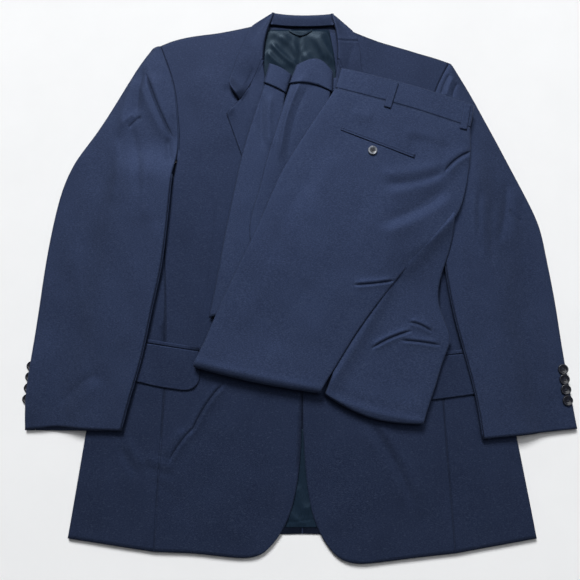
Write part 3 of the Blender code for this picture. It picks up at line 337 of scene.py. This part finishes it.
def seam_allowance(name, first, second, cloth, creases=(), uneven=1.0, half=SEAM_HALF,
                   drop=SEAM_DROP, below=0.0):
    """The pressed edges below a seam: a narrow strip along where two solids meet."""
    own, other = node_points(first), node_points(second)
    apart = np.array([np.min(np.linalg.norm(other - point, axis=1)) for point in own])
    line = own[apart < SEAM_REACH]
    line = line[np.argsort(line[:, 1])]
    groups = np.cumsum(np.diff(line[:, 1], prepend=line[0, 1]) > SEAM_STEP)
    tops = np.array([line[groups == k][np.argmax(line[groups == k][:, 2])]
                     for k in range(groups[-1] + 1)])
    y = np.linspace(tops[0, 1] + SEAM_END - below, tops[-1, 1] - SEAM_END, SEAM_ROWS)
    path = np.column_stack([np.interp(y, tops[:, 1], tops[:, 0]), y,
                            np.interp(y, tops[:, 1], tops[:, 2]) - drop])
    run = np.gradient(path[:, :2], axis=0)
    side = np.column_stack([run[:, 1], -run[:, 0]]) / np.linalg.norm(run, axis=1)[:, None]
    shift = np.column_stack([side * half, np.zeros(SEAM_ROWS)])
    down = np.array([0.0, 0.0, -SEAM_THICK])
    ring = np.stack([path - shift, path, path + shift, path + shift + down, path + down,
                     path - shift + down], axis=1)
    around = ring.shape[1]
    faces = [(r * around + k, r * around + (k + 1) % around, (r + 1) * around + (k + 1) % around,
              (r + 1) * around + k) for r in range(SEAM_ROWS - 1) for k in range(around)]
    faces.append(tuple(reversed(range(around))))
    faces.append(tuple(range((SEAM_ROWS - 1) * around, SEAM_ROWS * around)))
    data = bpy.data.meshes.new(name)
    data.from_pydata([tuple(v * MM) for v in ring.reshape(-1, 3)], [], faces)
    strip = bpy.data.objects.new(name, data)
    bpy.context.scene.collection.objects.link(strip)
    edit(strip)
    bpy.ops.mesh.select_all(action="SELECT")
    bpy.ops.mesh.normals_make_consistent(inside=False)
    leave()
    lay_creases(strip, creases, uneven)
    data.materials.append(cloth)
    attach(strip, "root")
    return strip


def finish_cloth(piece, node, cloth):
    """Dresses the piece and lets it stand for its solid; what faces the floor is shaded flat."""
    for face in piece.data.polygons:
        face.use_smooth = face.normal.z > FACING_FLOOR
    piece.data.materials.clear()
    piece.data.materials.append(cloth)
    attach(piece, "root")
    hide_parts(node)


FRONT_CREASES = [
    *pinch(-112, -172, -160, -250, 5, 2.4, 5.0),
    *pinch(-154, -236, -190, -286, 3, 1.8, 5.0),
    Crease(-168, -240, -200, -278, 3, 7, 1.0),
    Crease(-262, -262, -236, -304, 3, 4, -1.2),
    Crease(-250, -256, -226, -294, 3, 6, 1.2),
    Crease(-226, -290, -180, -304, 3, 3.6, -1.1),
    Crease(-226, -280, -180, -294, 3, 6, 1.1),
    Crease(-216, -310, -180, -332, 3, 5, -0.8),
    Crease(-129, 118, -143, -63, -2, 2.0, -0.5),
    Crease(-120, 300, -86, 268, 0, 6, -1.3),
    Crease(-186, 60, -176, -90, 4, 22, -0.7),
    Crease(-236, 60, -226, -80, 6, 18, 0.7),
    Crease(-160, 330, -110, 190, -14, 26, 0.9),
    Crease(-180, 290, -150, 150, -8, 14, -0.7),
    Crease(-150, -225, -90, -240, 5, 16, 0.6),
    Crease(-60, -300, -90, -400, 6, 18, 0.6),
    Crease(-180, -330, -120, -400, 6, 16, -0.6),
    Crease(-290, -220, -300, -380, 3, 16, 0.6),
    Crease(100, -226, 164, -350, -6, 5, -2.2),
    Crease(112, -226, 178, -346, -6, 8, 1.7),
    Crease(90, -236, 150, -350, -6, 9, 0.9),
    Crease(150, -300, 184, -362, 4, 12, 0.8),
    Crease(232, -250, 262, -380, 6, 18, -0.7),
    Crease(60, -240, 76, -390, 4, 16, 0.6),
    Crease(290, -140, 300, -330, 3, 16, 0.6),
    Crease(235, 120, 262, -60, 6, 12, -0.8),
]

SEAM_PARTNERS = {"front_left": "side_panel_left", "front_right": "side_panel_right",
                 "back_left": "back_right"}
# Each row gives a node, and its cut's flat width and length in metres and area in square metres.
BODY_PIECES = [
    ("back_left", (0.345, 0.80), 0.235),
    ("back_right", (0.345, 0.80), 0.235),
    ("side_panel_left", (0.155, 0.56), 0.078),
    ("side_panel_right", (0.155, 0.56), 0.078),
    ("front_left", (0.21, 0.83), 0.134),
    ("front_right", (0.22, 0.82), 0.138),
]
CREASED = ["side_panel_left", "side_panel_right", "front_left", "front_right"]
for node, flat, area in BODY_PIECES:
    panel = cloth_from(node, "cloth_" + node)
    if node in CREASED:
        finer_top(panel)
        finer_near(panel, FRONT_CREASES)
        lay_creases(panel, FRONT_CREASES)
    finish_cloth(panel, node, JACKET_CLOTH)
    seams = []
    if node in SEAM_PARTNERS:
        partner = SEAM_PARTNERS[node]
        creases = FRONT_CREASES if node in CREASED else []
        seams = [seam_allowance("seam_" + partner, node, partner, JACKET_CLOTH, creases,
                                half=SEAM_NARROW, drop=SEAM_FLUSH)]


# Lapels and collar
# The facing is turned back on its roll line, and the collar's fall is turned down over the neck
# seam. Both are the suiting again, pressed, with a crisp seamed edge and a notch between them.

COLLAR_UNEVEN = 0.6
LAPEL_CREASES = [
    Crease(-60, 300, -98, 150, 6, 8, 0.5),
    Crease(-70, 330, -84, 290, 4, 6, -0.5),
    Crease(-84, 372, -72, 300, -4, 7, -0.6),
    Crease(-138, 326, -92, 277, 0, 13, 7.0),
    Crease(-136, 248, -104, 264, 0, 9, 2.6),
    *pinch(60, 377, 104, 376, 0, 0.9, 3.0),
    Crease(90, 372, 78, 300, 4, 7, -0.6),
]
COLLAR_PIECES = [
    ("lapel_left", (0.10, 0.39), 0.019),
    ("lapel_right", (0.10, 0.39), 0.019),
    ("collar_leaf_left", (0.055, 0.12), 0.0045),
    ("collar_leaf_right", (0.055, 0.12), 0.0045),
    ("collar_back", (0.112, 0.095), 0.0098),
]
for node, flat, area in COLLAR_PIECES:
    panel = cloth_from(node, "cloth_" + node)
    finer_top(panel)
    lay_creases(panel, LAPEL_CREASES, COLLAR_UNEVEN)
    finish_cloth(panel, node, JACKET_CLOTH)
    seams = []
    if "leaf" in node:
        seams = [seam_allowance("seam_" + node, node, node.replace("collar_leaf", "lapel"),
                                JACKET_CLOTH, LAPEL_CREASES, COLLAR_UNEVEN),
                 seam_allowance("seam_fall_" + node, node, "collar_back", JACKET_CLOTH,
                                uneven=COLLAR_UNEVEN)]


# Lining and hanger loop
# A smooth teal-blue satin with a soft gloss, seen inside the neck and between the curved hems. A
# narrow loop of the same satin is sewn across the back of the neck.

SATIN = (0.0075, 0.0148, 0.0260)
SATIN_LIGHT = (0.0120, 0.0235, 0.0420)
SATIN_GLEAM = (0.55, 0.78, 1.0, 1.0)


def lining_satin(name):
    """Satin: fine warp lines and a clear soft gloss."""
    finish, nodes, links = new_material(name)
    shader = nodes["Principled BSDF"]
    spot = nodes.new("ShaderNodeTexCoord").outputs["Object"]
    thread = noise(nodes, links, spot, 700.0, 2.0, 0.6, (2.4, 0.25, 1))
    colour = ramp(nodes, links, thread, (0.35, SATIN), (0.70, SATIN_LIGHT))
    links.new(colour, shader.inputs["Base Color"])
    bump = nodes.new("ShaderNodeBump")
    bump.inputs["Strength"].default_value = 0.12
    bump.inputs["Distance"].default_value = 0.0003
    links.new(thread, bump.inputs["Height"])
    links.new(bump.outputs["Normal"], shader.inputs["Normal"])
    shader.inputs["Roughness"].default_value = 0.34
    shader.inputs["Specular IOR Level"].default_value = 0.085
    shader.inputs["Specular Tint"].default_value = SATIN_GLEAM
    return finish


SATIN_FINISH = lining_satin("lining_satin_finish")
LINING_CREASES = [
    Crease(1, 404, 2, 330, 0, 3.0, -1.0),
    Crease(-4, 402, -6, 326, 0, 4.0, 0.7),
    Crease(7, 402, 9, 326, 0, 4.0, 0.7),
    Crease(-46, 378, -2, 334, 3, 5, 2.6),
    Crease(-30, 392, 0, 352, -3, 6, 1.8),
    Crease(-52, 362, -20, 332, 3, 6, 2.0),
    Crease(-46, 396, -20, 372, -4, 7, 1.4),
    Crease(16, 396, 44, 344, -3, 6, 1.8),
    Crease(32, 398, 64, 336, 3, 8, 3.0),
    Crease(10, 360, 34, 326, 3, 6, 1.8),
    Crease(-20, -350, 6, -374, 3, 5, 1.8),
    Crease(-4, -318, 12, -362, 3, 5, 1.6),
    Crease(4, -352, 26, -340, 3, 5, 1.5),
    Crease(-24, -371, 24, -366, 1, 2, -0.6),
]
LINING_PIECES = [("lining_neck", (0.122, 0.42), 0.036), ("lining_hem", (0.06, 0.138), 0.0056)]
for node, flat, area in LINING_PIECES:
    panel = cloth_from(node, "cloth_" + node, 3)
    finer_top(panel)
    lay_creases(panel, LINING_CREASES, 0.8)
    finish_cloth(panel, node, SATIN_FINISH)
    if node == "lining_neck":
        loop = cloth_from("hanger_loop", "cloth_hanger_loop", 3)
        finish_cloth(loop, "hanger_loop", SATIN_FINISH)


# Sleeves
# Each sleeve is a top half and an under half, seamed down the elbow and the inner arm. It lies
# pressed flat, full over the head where it is eased into the armhole, and slack at the elbow.

SLEEVE_CREASES = [
    *pinch(-246, 322, -198, 210, 3, 2.2, 6.0),
    Crease(-258, 312, -208, 206, 3, 8, 1.6),
    Crease(-232, 322, -196, 240, 3, 7, 0.9),
    Crease(-250, 334, -258, 250, 2, 5, -1.6),
    Crease(-264, 316, -282, 214, 4, 8, 1.6),
    Crease(-250, 248, -270, 228, 1, 2.6, -1.4),
    Crease(-262, 252, -282, 232, 1, 5, 1.0),
    Crease(-268, 236, -250, 110, -6, 7, -1.4),
    Crease(-290, 210, -292, 100, -6, 10, 1.3),
    Crease(-236, 190, -232, 70, 4, 10, 1.1),
    Crease(-207, 212, -199, 168, 2, 5, -1.8),
    Crease(-296, -156, -356, -206, 3, 5, -1.2),
    Crease(-286, -170, -340, -222, 3, 9, 1.0),
    Crease(-350, 40, -300, -90, 10, 14, 0.8),
    Crease(-330, -80, -280, -190, 8, 12, -0.7),
    Crease(-380, 0, -372, -160, 6, 12, 0.7),
    Crease(-250, 20, -262, -130, -6, 12, 0.8),
    Crease(-230, 150, -216, 60, 4, 9, -0.8),
    Crease(244, 322, 228, 284, 2, 2.6, -1.3),
    Crease(250, 316, 236, 280, 2, 5, 1.2),
    Crease(256, 306, 246, 280, 2, 3, -1.0),
    Crease(324, 140, 302, 34, -5, 6, -1.3),
    Crease(338, 132, 318, 30, -5, 12, 1.2),
    Crease(326, 96, 346, 74, 2, 2.6, -1.0),
    Crease(300, 110, 294, 0, 2, 7, -0.9),
    Crease(286, 116, 280, 0, 2, 10, 0.9),
    Crease(274, 126, 270, 40, 3, 6, 0.9),
    Crease(282, 128, 276, 46, 3, 5, -0.8),
    Crease(336, 100, 300, -60, -10, 14, 0.8),
    Crease(300, 20, 340, -120, 10, 14, -0.8),
    Crease(350, -60, 372, -200, 6, 12, 0.7),
    Crease(250, 60, 262, -110, 6, 12, 0.8),
    Crease(290, -100, 300, -220, 5, 12, 0.7),
]
# The sleeves' copy of the suiting is painted lighter than the jacket's, standing in for light.
SLEEVE_CLOTH = suit_cloth("suit_cloth_sleeves", grain=math.radians(-8), painted_brightness=1.34)
SLEEVE_UNEVEN = 1.6
# The armhole's strip runs on below the armpit, and the inner seam's strip is narrower.
ARMPIT_REACH = 6.0
ARMHOLE_DROP = 0.20
INNER_HALF = 1.3
SLEEVE_PIECES = [
    ("top_sleeve_left", (0.21, 0.62), 0.122),
    ("top_sleeve_right", (0.21, 0.60), 0.118),
    ("under_sleeve_left", (0.16, 0.42), 0.061),
    ("under_sleeve_right", (0.16, 0.42), 0.058),
]
for node, flat, area in SLEEVE_PIECES:
    panel = cloth_from(node, "cloth_" + node)
    if node.startswith("top"):
        finer_top(panel)
        finer_near(panel, SLEEVE_CREASES)
        lay_creases(panel, SLEEVE_CREASES, SLEEVE_UNEVEN)
    finish_cloth(panel, node, SLEEVE_CLOTH)
    seams = []
    if node.startswith("top"):
        seams = [seam_allowance("seam_armhole_" + node, node, node.replace("top_sleeve", "front"),
                                SLEEVE_CLOTH, SLEEVE_CREASES, drop=ARMHOLE_DROP,
                                below=ARMPIT_REACH),
                 seam_allowance("seam_inner_" + node, node, node.replace("top", "under"),
                                SLEEVE_CLOTH, SLEEVE_CREASES, SLEEVE_UNEVEN, INNER_HALF)]


# Buttons
# Turned buttons with a raised rim and four holes, sewn on with crossed navy thread. The cuffs
# have dark glossy ones, and the back pocket a grey pearly one with a dark centre.

HORN_DARK = (0.004, 0.004, 0.007)
HORN_LIGHT = (0.014, 0.016, 0.026)
PEARL_GREY = (0.25, 0.27, 0.31)
PEARL_DARK = (0.07, 0.08, 0.10)
THREAD_NAVY = (0.012, 0.016, 0.034)


def button_finish(name, dark, light, roughness):
    """Marbled glossy button stuff."""
    finish, nodes, links = new_material(name)
    shader = nodes["Principled BSDF"]
    spot = nodes.new("ShaderNodeTexCoord").outputs["Object"]
    marble = noise(nodes, links, spot, 240.0, 4.0, 0.6)
    links.new(ramp(nodes, links, marble, (0.35, dark), (0.70, light)), shader.inputs["Base Color"])
    shader.inputs["Roughness"].default_value = roughness
    shader.inputs["Specular IOR Level"].default_value = 0.5
    shader.inputs["Coat Weight"].default_value = 0.25
    shader.inputs["Coat Roughness"].default_value = 0.12
    return finish


def thread_finish(name):
    """Dull twisted sewing thread."""
    finish, nodes, links = new_material(name)
    shader = nodes["Principled BSDF"]
    spot = nodes.new("ShaderNodeTexCoord").outputs["Object"]
    twist = noise(nodes, links, spot, 2200.0, 1.0, 0.5)
    colour = ramp(nodes, links, twist, (0.35, THREAD_NAVY), (0.70, CLOTH_NAVY))
    links.new(colour, shader.inputs["Base Color"])
    shader.inputs["Roughness"].default_value = 0.75
    return finish


HORN_FINISH = button_finish("button_horn_finish", HORN_DARK, HORN_LIGHT, 0.22)
PEARL_FINISH = button_finish("button_pearl_finish", PEARL_DARK, PEARL_GREY, 0.55)
CENTRE_FINISH = button_finish("button_centre_finish", HORN_DARK, HORN_LIGHT, 0.60)
THREAD_FINISH = thread_finish("button_thread_finish")
# From the rim to the face: each step's inset as a share of the radius and sink of the height.
FACE_STEPS = [(0.10, 0.0), (0.14, 0.0), (0.16, 0.30), (0.30, 0.04)]
RIM_ROUND = 0.22
FACE_OUT = 0.62
HOLES = 4
HOLE_OUT = 0.255
HOLE_WIDE = 0.115
FIRST_HOLE = 45
THREAD_THICK = 0.045
THREAD_SINK = 0.42


def join_into(piece, others):
    """Joins the other objects into the piece."""
    bpy.ops.object.select_all(action="DESELECT")
    for other in others:
        other.select_set(True)
    piece.select_set(True)
    bpy.context.view_layer.objects.active = piece
    bpy.ops.object.join()


def turned_button(name, centre, radius, height):
    """A round blank with a rounded rim and a dished face."""
    bpy.ops.object.select_all(action="DESELECT")
    bpy.ops.mesh.primitive_cylinder_add(vertices=48, radius=radius, depth=height,
                                        location=tuple(centre))
    piece = bpy.context.object
    piece.name = name
    bpy.ops.object.transform_apply(location=True)
    edit(piece, "FACE")
    leave()
    for face in piece.data.polygons:
        face.select = face.normal.z > 0.9
    bpy.ops.object.mode_set(mode="EDIT")
    for inset, sink in FACE_STEPS:
        bpy.ops.mesh.inset(thickness=radius * inset, depth=-height * sink)
    leave()
    rim = piece.modifiers.new("rim", "BEVEL")
    rim.width = height * RIM_ROUND
    rim.segments = 3
    rim.limit_method = "ANGLE"
    rim.angle_limit = math.radians(40)
    bpy.ops.object.modifier_apply(modifier="rim")
    return piece


def drill_holes(piece, centre, radius, height):
    """The holes through the face, in a square round its centre."""
    holes = []
    for step in range(HOLES):
        turn = math.radians(FIRST_HOLE + 90 * step)
        spot = centre + radius * HOLE_OUT * np.array([math.cos(turn), math.sin(turn), 0.0])
        bpy.ops.mesh.primitive_cylinder_add(vertices=16, radius=radius * HOLE_WIDE,
                                            depth=height * 3.0, location=tuple(spot))
        holes.append(bpy.context.object)
    join_into(holes[0], holes[1:])
    drill = piece.modifiers.new("holes", "BOOLEAN")
    drill.object = holes[0]
    drill.operation = "DIFFERENCE"
    bpy.ops.object.select_all(action="DESELECT")
    bpy.context.view_layer.objects.active = piece
    piece.select_set(True)
    bpy.ops.object.modifier_apply(modifier="holes")
    bpy.data.objects.remove(holes[0], do_unlink=True)
    bpy.ops.object.shade_smooth_by_angle(angle=math.radians(35))


def crossed_thread(name, centre, radius, height, top):
    """Two flattened loops of thread that cross through the holes."""
    threads = []
    for step in range(2):
        bpy.ops.object.select_all(action="DESELECT")
        bpy.ops.mesh.primitive_torus_add(major_radius=radius * HOLE_OUT,
                                         minor_radius=radius * THREAD_THICK, major_segments=24,
                                         minor_segments=8, location=(0, 0, 0))
        thread = bpy.context.object
        edit(thread)
        bpy.ops.mesh.select_all(action="SELECT")
        bpy.ops.transform.rotate(value=math.pi / 2, orient_axis="X", center_override=(0, 0, 0))
        bpy.ops.transform.rotate(value=math.radians(FIRST_HOLE + 90 * step), orient_axis="Z",
                                 center_override=(0, 0, 0))
        bpy.ops.transform.resize(value=(1, 1, 0.30), center_override=(0, 0, 0))
        bpy.ops.transform.translate(value=(centre[0], centre[1], top - height * THREAD_SINK))
        leave()
        threads.append(thread)
    join_into(threads[0], threads[1:])
    thread = threads[0]
    thread.name = name
    bpy.ops.object.shade_smooth()
    thread.data.materials.append(THREAD_FINISH)
    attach(thread, "root")


def sewn_button(node, name, rim_finish, face_finish):
    """A turned button on its node's place, with its holes and its crossed thread."""
    low, high = [np.array(corner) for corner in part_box(node)]
    centre = (low + high) / 2.0
    radius = (high[0] - low[0]) / 2.0
    height = high[2] - low[2]
    piece = turned_button(name, centre, radius, height)
    drill_holes(piece, centre, radius, height)
    piece.data.materials.append(rim_finish)
    piece.data.materials.append(face_finish)
    for face in piece.data.polygons:
        out = math.hypot(face.center.x - centre[0], face.center.y - centre[1])
        face.material_index = int(out < FACE_OUT * radius and face.normal.z > 0.2)
    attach(piece, "root")
    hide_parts(node)
    crossed_thread(name + "_thread", centre, radius, height, high[2])


for side in ("left", "right"):
    for number in range(1, 5):
        sewn_button(f"cuff_button_{side}_{number}", f"button_{side}_{number}",
                    HORN_FINISH, HORN_FINISH)


# Hip pockets
# Flap pockets: a narrow welt of the cloth along the cut, and a lined flap hanging below it with a
# rounded front corner. The flap lies on the front.

POCKETS = [("left", (0.140, 0.064), 0.0075), ("right", (0.138, 0.066), 0.0075)]
for side, flat, area in POCKETS:
    welt = cloth_from("pocket_welt_" + side, "cloth_pocket_welt_" + side)
    finish_cloth(welt, "pocket_welt_" + side, JACKET_CLOTH)
    panel = cloth_from("pocket_flap_" + side, "cloth_pocket_flap_" + side)
    finer_top(panel)
    lay_creases(panel, FRONT_CREASES)
    finish_cloth(panel, "pocket_flap_" + side, JACKET_CLOTH)


# Trousers
# Two legs of the same suiting, laid leg on leg and folded once across the knees. The near leg
# shows from waistband to fold, the far leg below it, and the two hems come back under the fold.

# The trousers' copy of the suiting is painted lighter still, standing in for light.
TROUSER_CLOTH = suit_cloth("suit_cloth_trousers", grain=math.radians(24), painted_brightness=1.51)
WAIST_DROP = 0.12
TROUSER_CREASES = [
    *pinch(80, -28, 144, -21, 1, 2.5),
    *pinch(106, -123, 168, -96, -3, 2.6),
    *pinch(163, -83, 197, -98, -3, 2.4),
    *pinch(150, -110, 210, -118, -1, 2.3),
    *pinch(270, 184, 224, 149, 5, 3.0, 7.0),
    Crease(226, 150, 128, 130, -6, 7, -2.2),
    Crease(232, 166, 120, 146, -6, 10, 1.5),
    Crease(240, 150, 128, 112, -6, 12, 1.5),
    Crease(232, 128, 118, 66, -8, 11, -2.2),
    Crease(240, 112, 120, 50, -8, 12, 1.5),
    Crease(152, -6, 198, 36, 0, 6, -1.0),
    Crease(178, 26, 136, -26, 2, 9, -0.6),
    Crease(84, 250, 116, 240, 3, 9, 0.9),
    Crease(160, 215, 228, 196, -4, 10, 1.0),
    Crease(170, 202, 236, 184, -4, 9, -0.8),
    Crease(60, 180, 20, 60, 8, 22, 0.9),
    Crease(110, 120, 60, -40, 8, 24, -0.9),
    Crease(160, 80, 120, -20, 6, 18, 0.9),
    Crease(20, 150, -40, 20, 6, 12, -0.9),
    Crease(-20, 20, -90, -100, 6, 16, 0.8),
    Crease(20, -20, -40, -130, 6, 18, -0.8),
    Crease(80, 0, 20, -120, 8, 18, 0.8),
    Crease(8, 312, -30, 168, 8, 5, 2.4),
    Crease(18, 300, -18, 168, 8, 6, -1.2),
    Crease(-58, 284, -56, 190, 3, 5, -1.4),
    Crease(-44, 284, -44, 190, 3, 6, 1.6),
]
# Where the two legs grow out of the seat the far leg rises to meet the near one.
CROTCH = [
    Crease(141, -17, 272, 114, 0, 14, 7.3),
    Crease(30, -200, 158, 4, 0, 11, 3.6),
]
# The cloth rolls over softly before it turns under at the fold.
FOLD_ROLLS = {
    "near_leg": [
        Crease(-180, -136, 62, -187, 3, 9, 2.6),
        Crease(-180, -120, 62, -172, 3, 30, 2.0),
    ],
    "far_leg": [
        Crease(16, -180, 206, -230, 11, 8, 2.4),
        Crease(16, -160, 206, -214, 8, 26, 2.0),
    ],
}
# Each row gives a node, a name, the cut's flat size and area, and how uneven the cloth lies.
TROUSER_PIECES = [
    ("trouser_lower_leg_a", "lower_leg_a", (0.075, 0.42), 0.022, 0.6),
    ("trouser_lower_leg_b", "lower_leg_b", (0.10, 0.36), 0.022, 1.0),
    ("turn_up_a", "turn_up_a", (0.06, 0.036), 0.0016, 0.5),
    ("turn_up_b", "turn_up_b", (0.08, 0.036), 0.0022, 0.5),
    ("trouser_far_leg", "far_leg", (0.23, 0.36), 0.040, 1.6),
    ("trouser_near_leg", "near_leg", (0.33, 0.56), 0.130, 1.8),
    ("waistband", "waistband", (0.24, 0.045), 0.010, 0.6),
]
for node, name, flat, area, uneven in TROUSER_PIECES:
    panel = cloth_from(node, "cloth_" + name)
    finer_top(panel)
    finer_near(panel, TROUSER_CREASES)
    lay_creases(panel, TROUSER_CREASES, uneven)
    if name == "far_leg":
        lay_creases(panel, CROTCH, 0.0)
    if name in FOLD_ROLLS:
        lay_creases(panel, FOLD_ROLLS[name], 0.0)
    finish_cloth(panel, node, TROUSER_CLOTH)
    seams = []
    if node == "waistband":
        seams = [seam_allowance("seam_waistband", node, "trouser_near_leg", TROUSER_CLOTH,
                                TROUSER_CREASES, uneven, SEAM_NARROW, WAIST_DROP)]

folded = cloth_from("trouser_folded_layers", "cloth_folded_layers", 1)
finish_cloth(folded, "trouser_folded_layers", TROUSER_CLOTH)


# Belt loops and back pocket
# Narrow strips of the cloth folded to 11 mm and sewn down at both ends, and a jetted pocket with
# two piped welts, closed by one button.

STRIPS = ("belt_loop_side", "belt_loop_back", "back_pocket_welt_upper", "back_pocket_welt_lower")
for node in STRIPS:
    strip = cloth_from(node, "cloth_" + node)
    finish_cloth(strip, node, TROUSER_CLOTH)
sewn_button("back_pocket_button", "button_back_pocket", PEARL_FINISH, CENTRE_FINISH)


# Surface, light and camera
# A plain pale floor under soft window light from the top left. The camera looks down at the
# suit, ten degrees off the vertical towards the hem.

FLOOR_WHITE = (0.86, 0.86, 0.86)
WALL_PALE = (0.74, 0.76, 0.79)
WALL_DIM = (0.50, 0.52, 0.54)
ROOM_DIM = (0.085, 0.088, 0.092)
CAMERA_TILT = math.radians(10)
CAMERA_DISTANCE = 1.045
CAMERA_ANGLE = math.radians(46)
LOOK_AT = (-0.014, -0.031, 0.0)

bpy.ops.object.select_all(action="DESELECT")
bpy.ops.mesh.primitive_plane_add(size=6.0, location=(0, 0, -0.0004))
ground = bpy.context.object
ground.name = "floor"
pale, nodes, links = new_material("pale_floor")
shader = nodes["Principled BSDF"]
spot = nodes.new("ShaderNodeTexCoord").outputs["Object"]
cloud = noise(nodes, links, spot, 9.0, 4.0, 0.6)
soft = ramp(nodes, links, cloud, (0.3, tuple(0.97 * c for c in FLOOR_WHITE)), (0.7, FLOOR_WHITE))
links.new(soft, shader.inputs["Base Color"])
shader.inputs["Roughness"].default_value = 0.75
ground.data.materials.append(pale)

world = bpy.data.worlds.new("room")
bpy.context.scene.world = world
world.use_nodes = True
nodes, links = world.node_tree.nodes, world.node_tree.links
sky = nodes.new("ShaderNodeTexCoord").outputs["Generated"]
height = nodes.new("ShaderNodeSeparateXYZ")
links.new(sky, height.inputs["Vector"])
glow = ramp(nodes, links, height.outputs["Z"], (0.0, WALL_PALE), (0.12, WALL_DIM), (0.32, ROOM_DIM))
links.new(glow, nodes["Background"].inputs["Color"])
nodes["Background"].inputs["Strength"].default_value = 1.0


def soft_light(name, spot, aim, size, power, colour):
    """A square softbox at a spot, turned to face its aim."""
    lamp = bpy.data.lights.new(name, "AREA")
    lamp.shape = "SQUARE"
    lamp.size = size
    lamp.energy = power
    lamp.color = colour
    stand = bpy.data.objects.new(name, lamp)
    bpy.context.scene.collection.objects.link(stand)
    out = np.array(spot) - np.array(aim)
    flat = math.hypot(out[0], out[1])
    stand.location = spot
    stand.rotation_euler = (math.atan2(flat, out[2]), 0.0, math.atan2(out[0], -out[1]))


soft_light("window", (-2.00, 8.70, 8.40), (0.0, 0.0, 0.0), 4.2, 1720.0, (0.98, 0.99, 1.0))
soft_light("ceiling", (1.30, 1.50, 4.10), (0.0, 0.0, 0.0), 2.6, 46.0, (0.99, 0.99, 1.0))

lens = bpy.data.cameras.new("photo_angle")
lens.angle = CAMERA_ANGLE
lens.clip_start = 0.05
viewer = bpy.data.objects.new("photo_angle", lens)
bpy.context.scene.collection.objects.link(viewer)
viewer.location = (LOOK_AT[0], LOOK_AT[1] - CAMERA_DISTANCE * math.sin(CAMERA_TILT),
                   CAMERA_DISTANCE * math.cos(CAMERA_TILT))
viewer.rotation_euler = (CAMERA_TILT, 0.0, 0.0)
bpy.context.scene.camera = viewer

bpy.context.scene.view_settings.view_transform = "Standard"
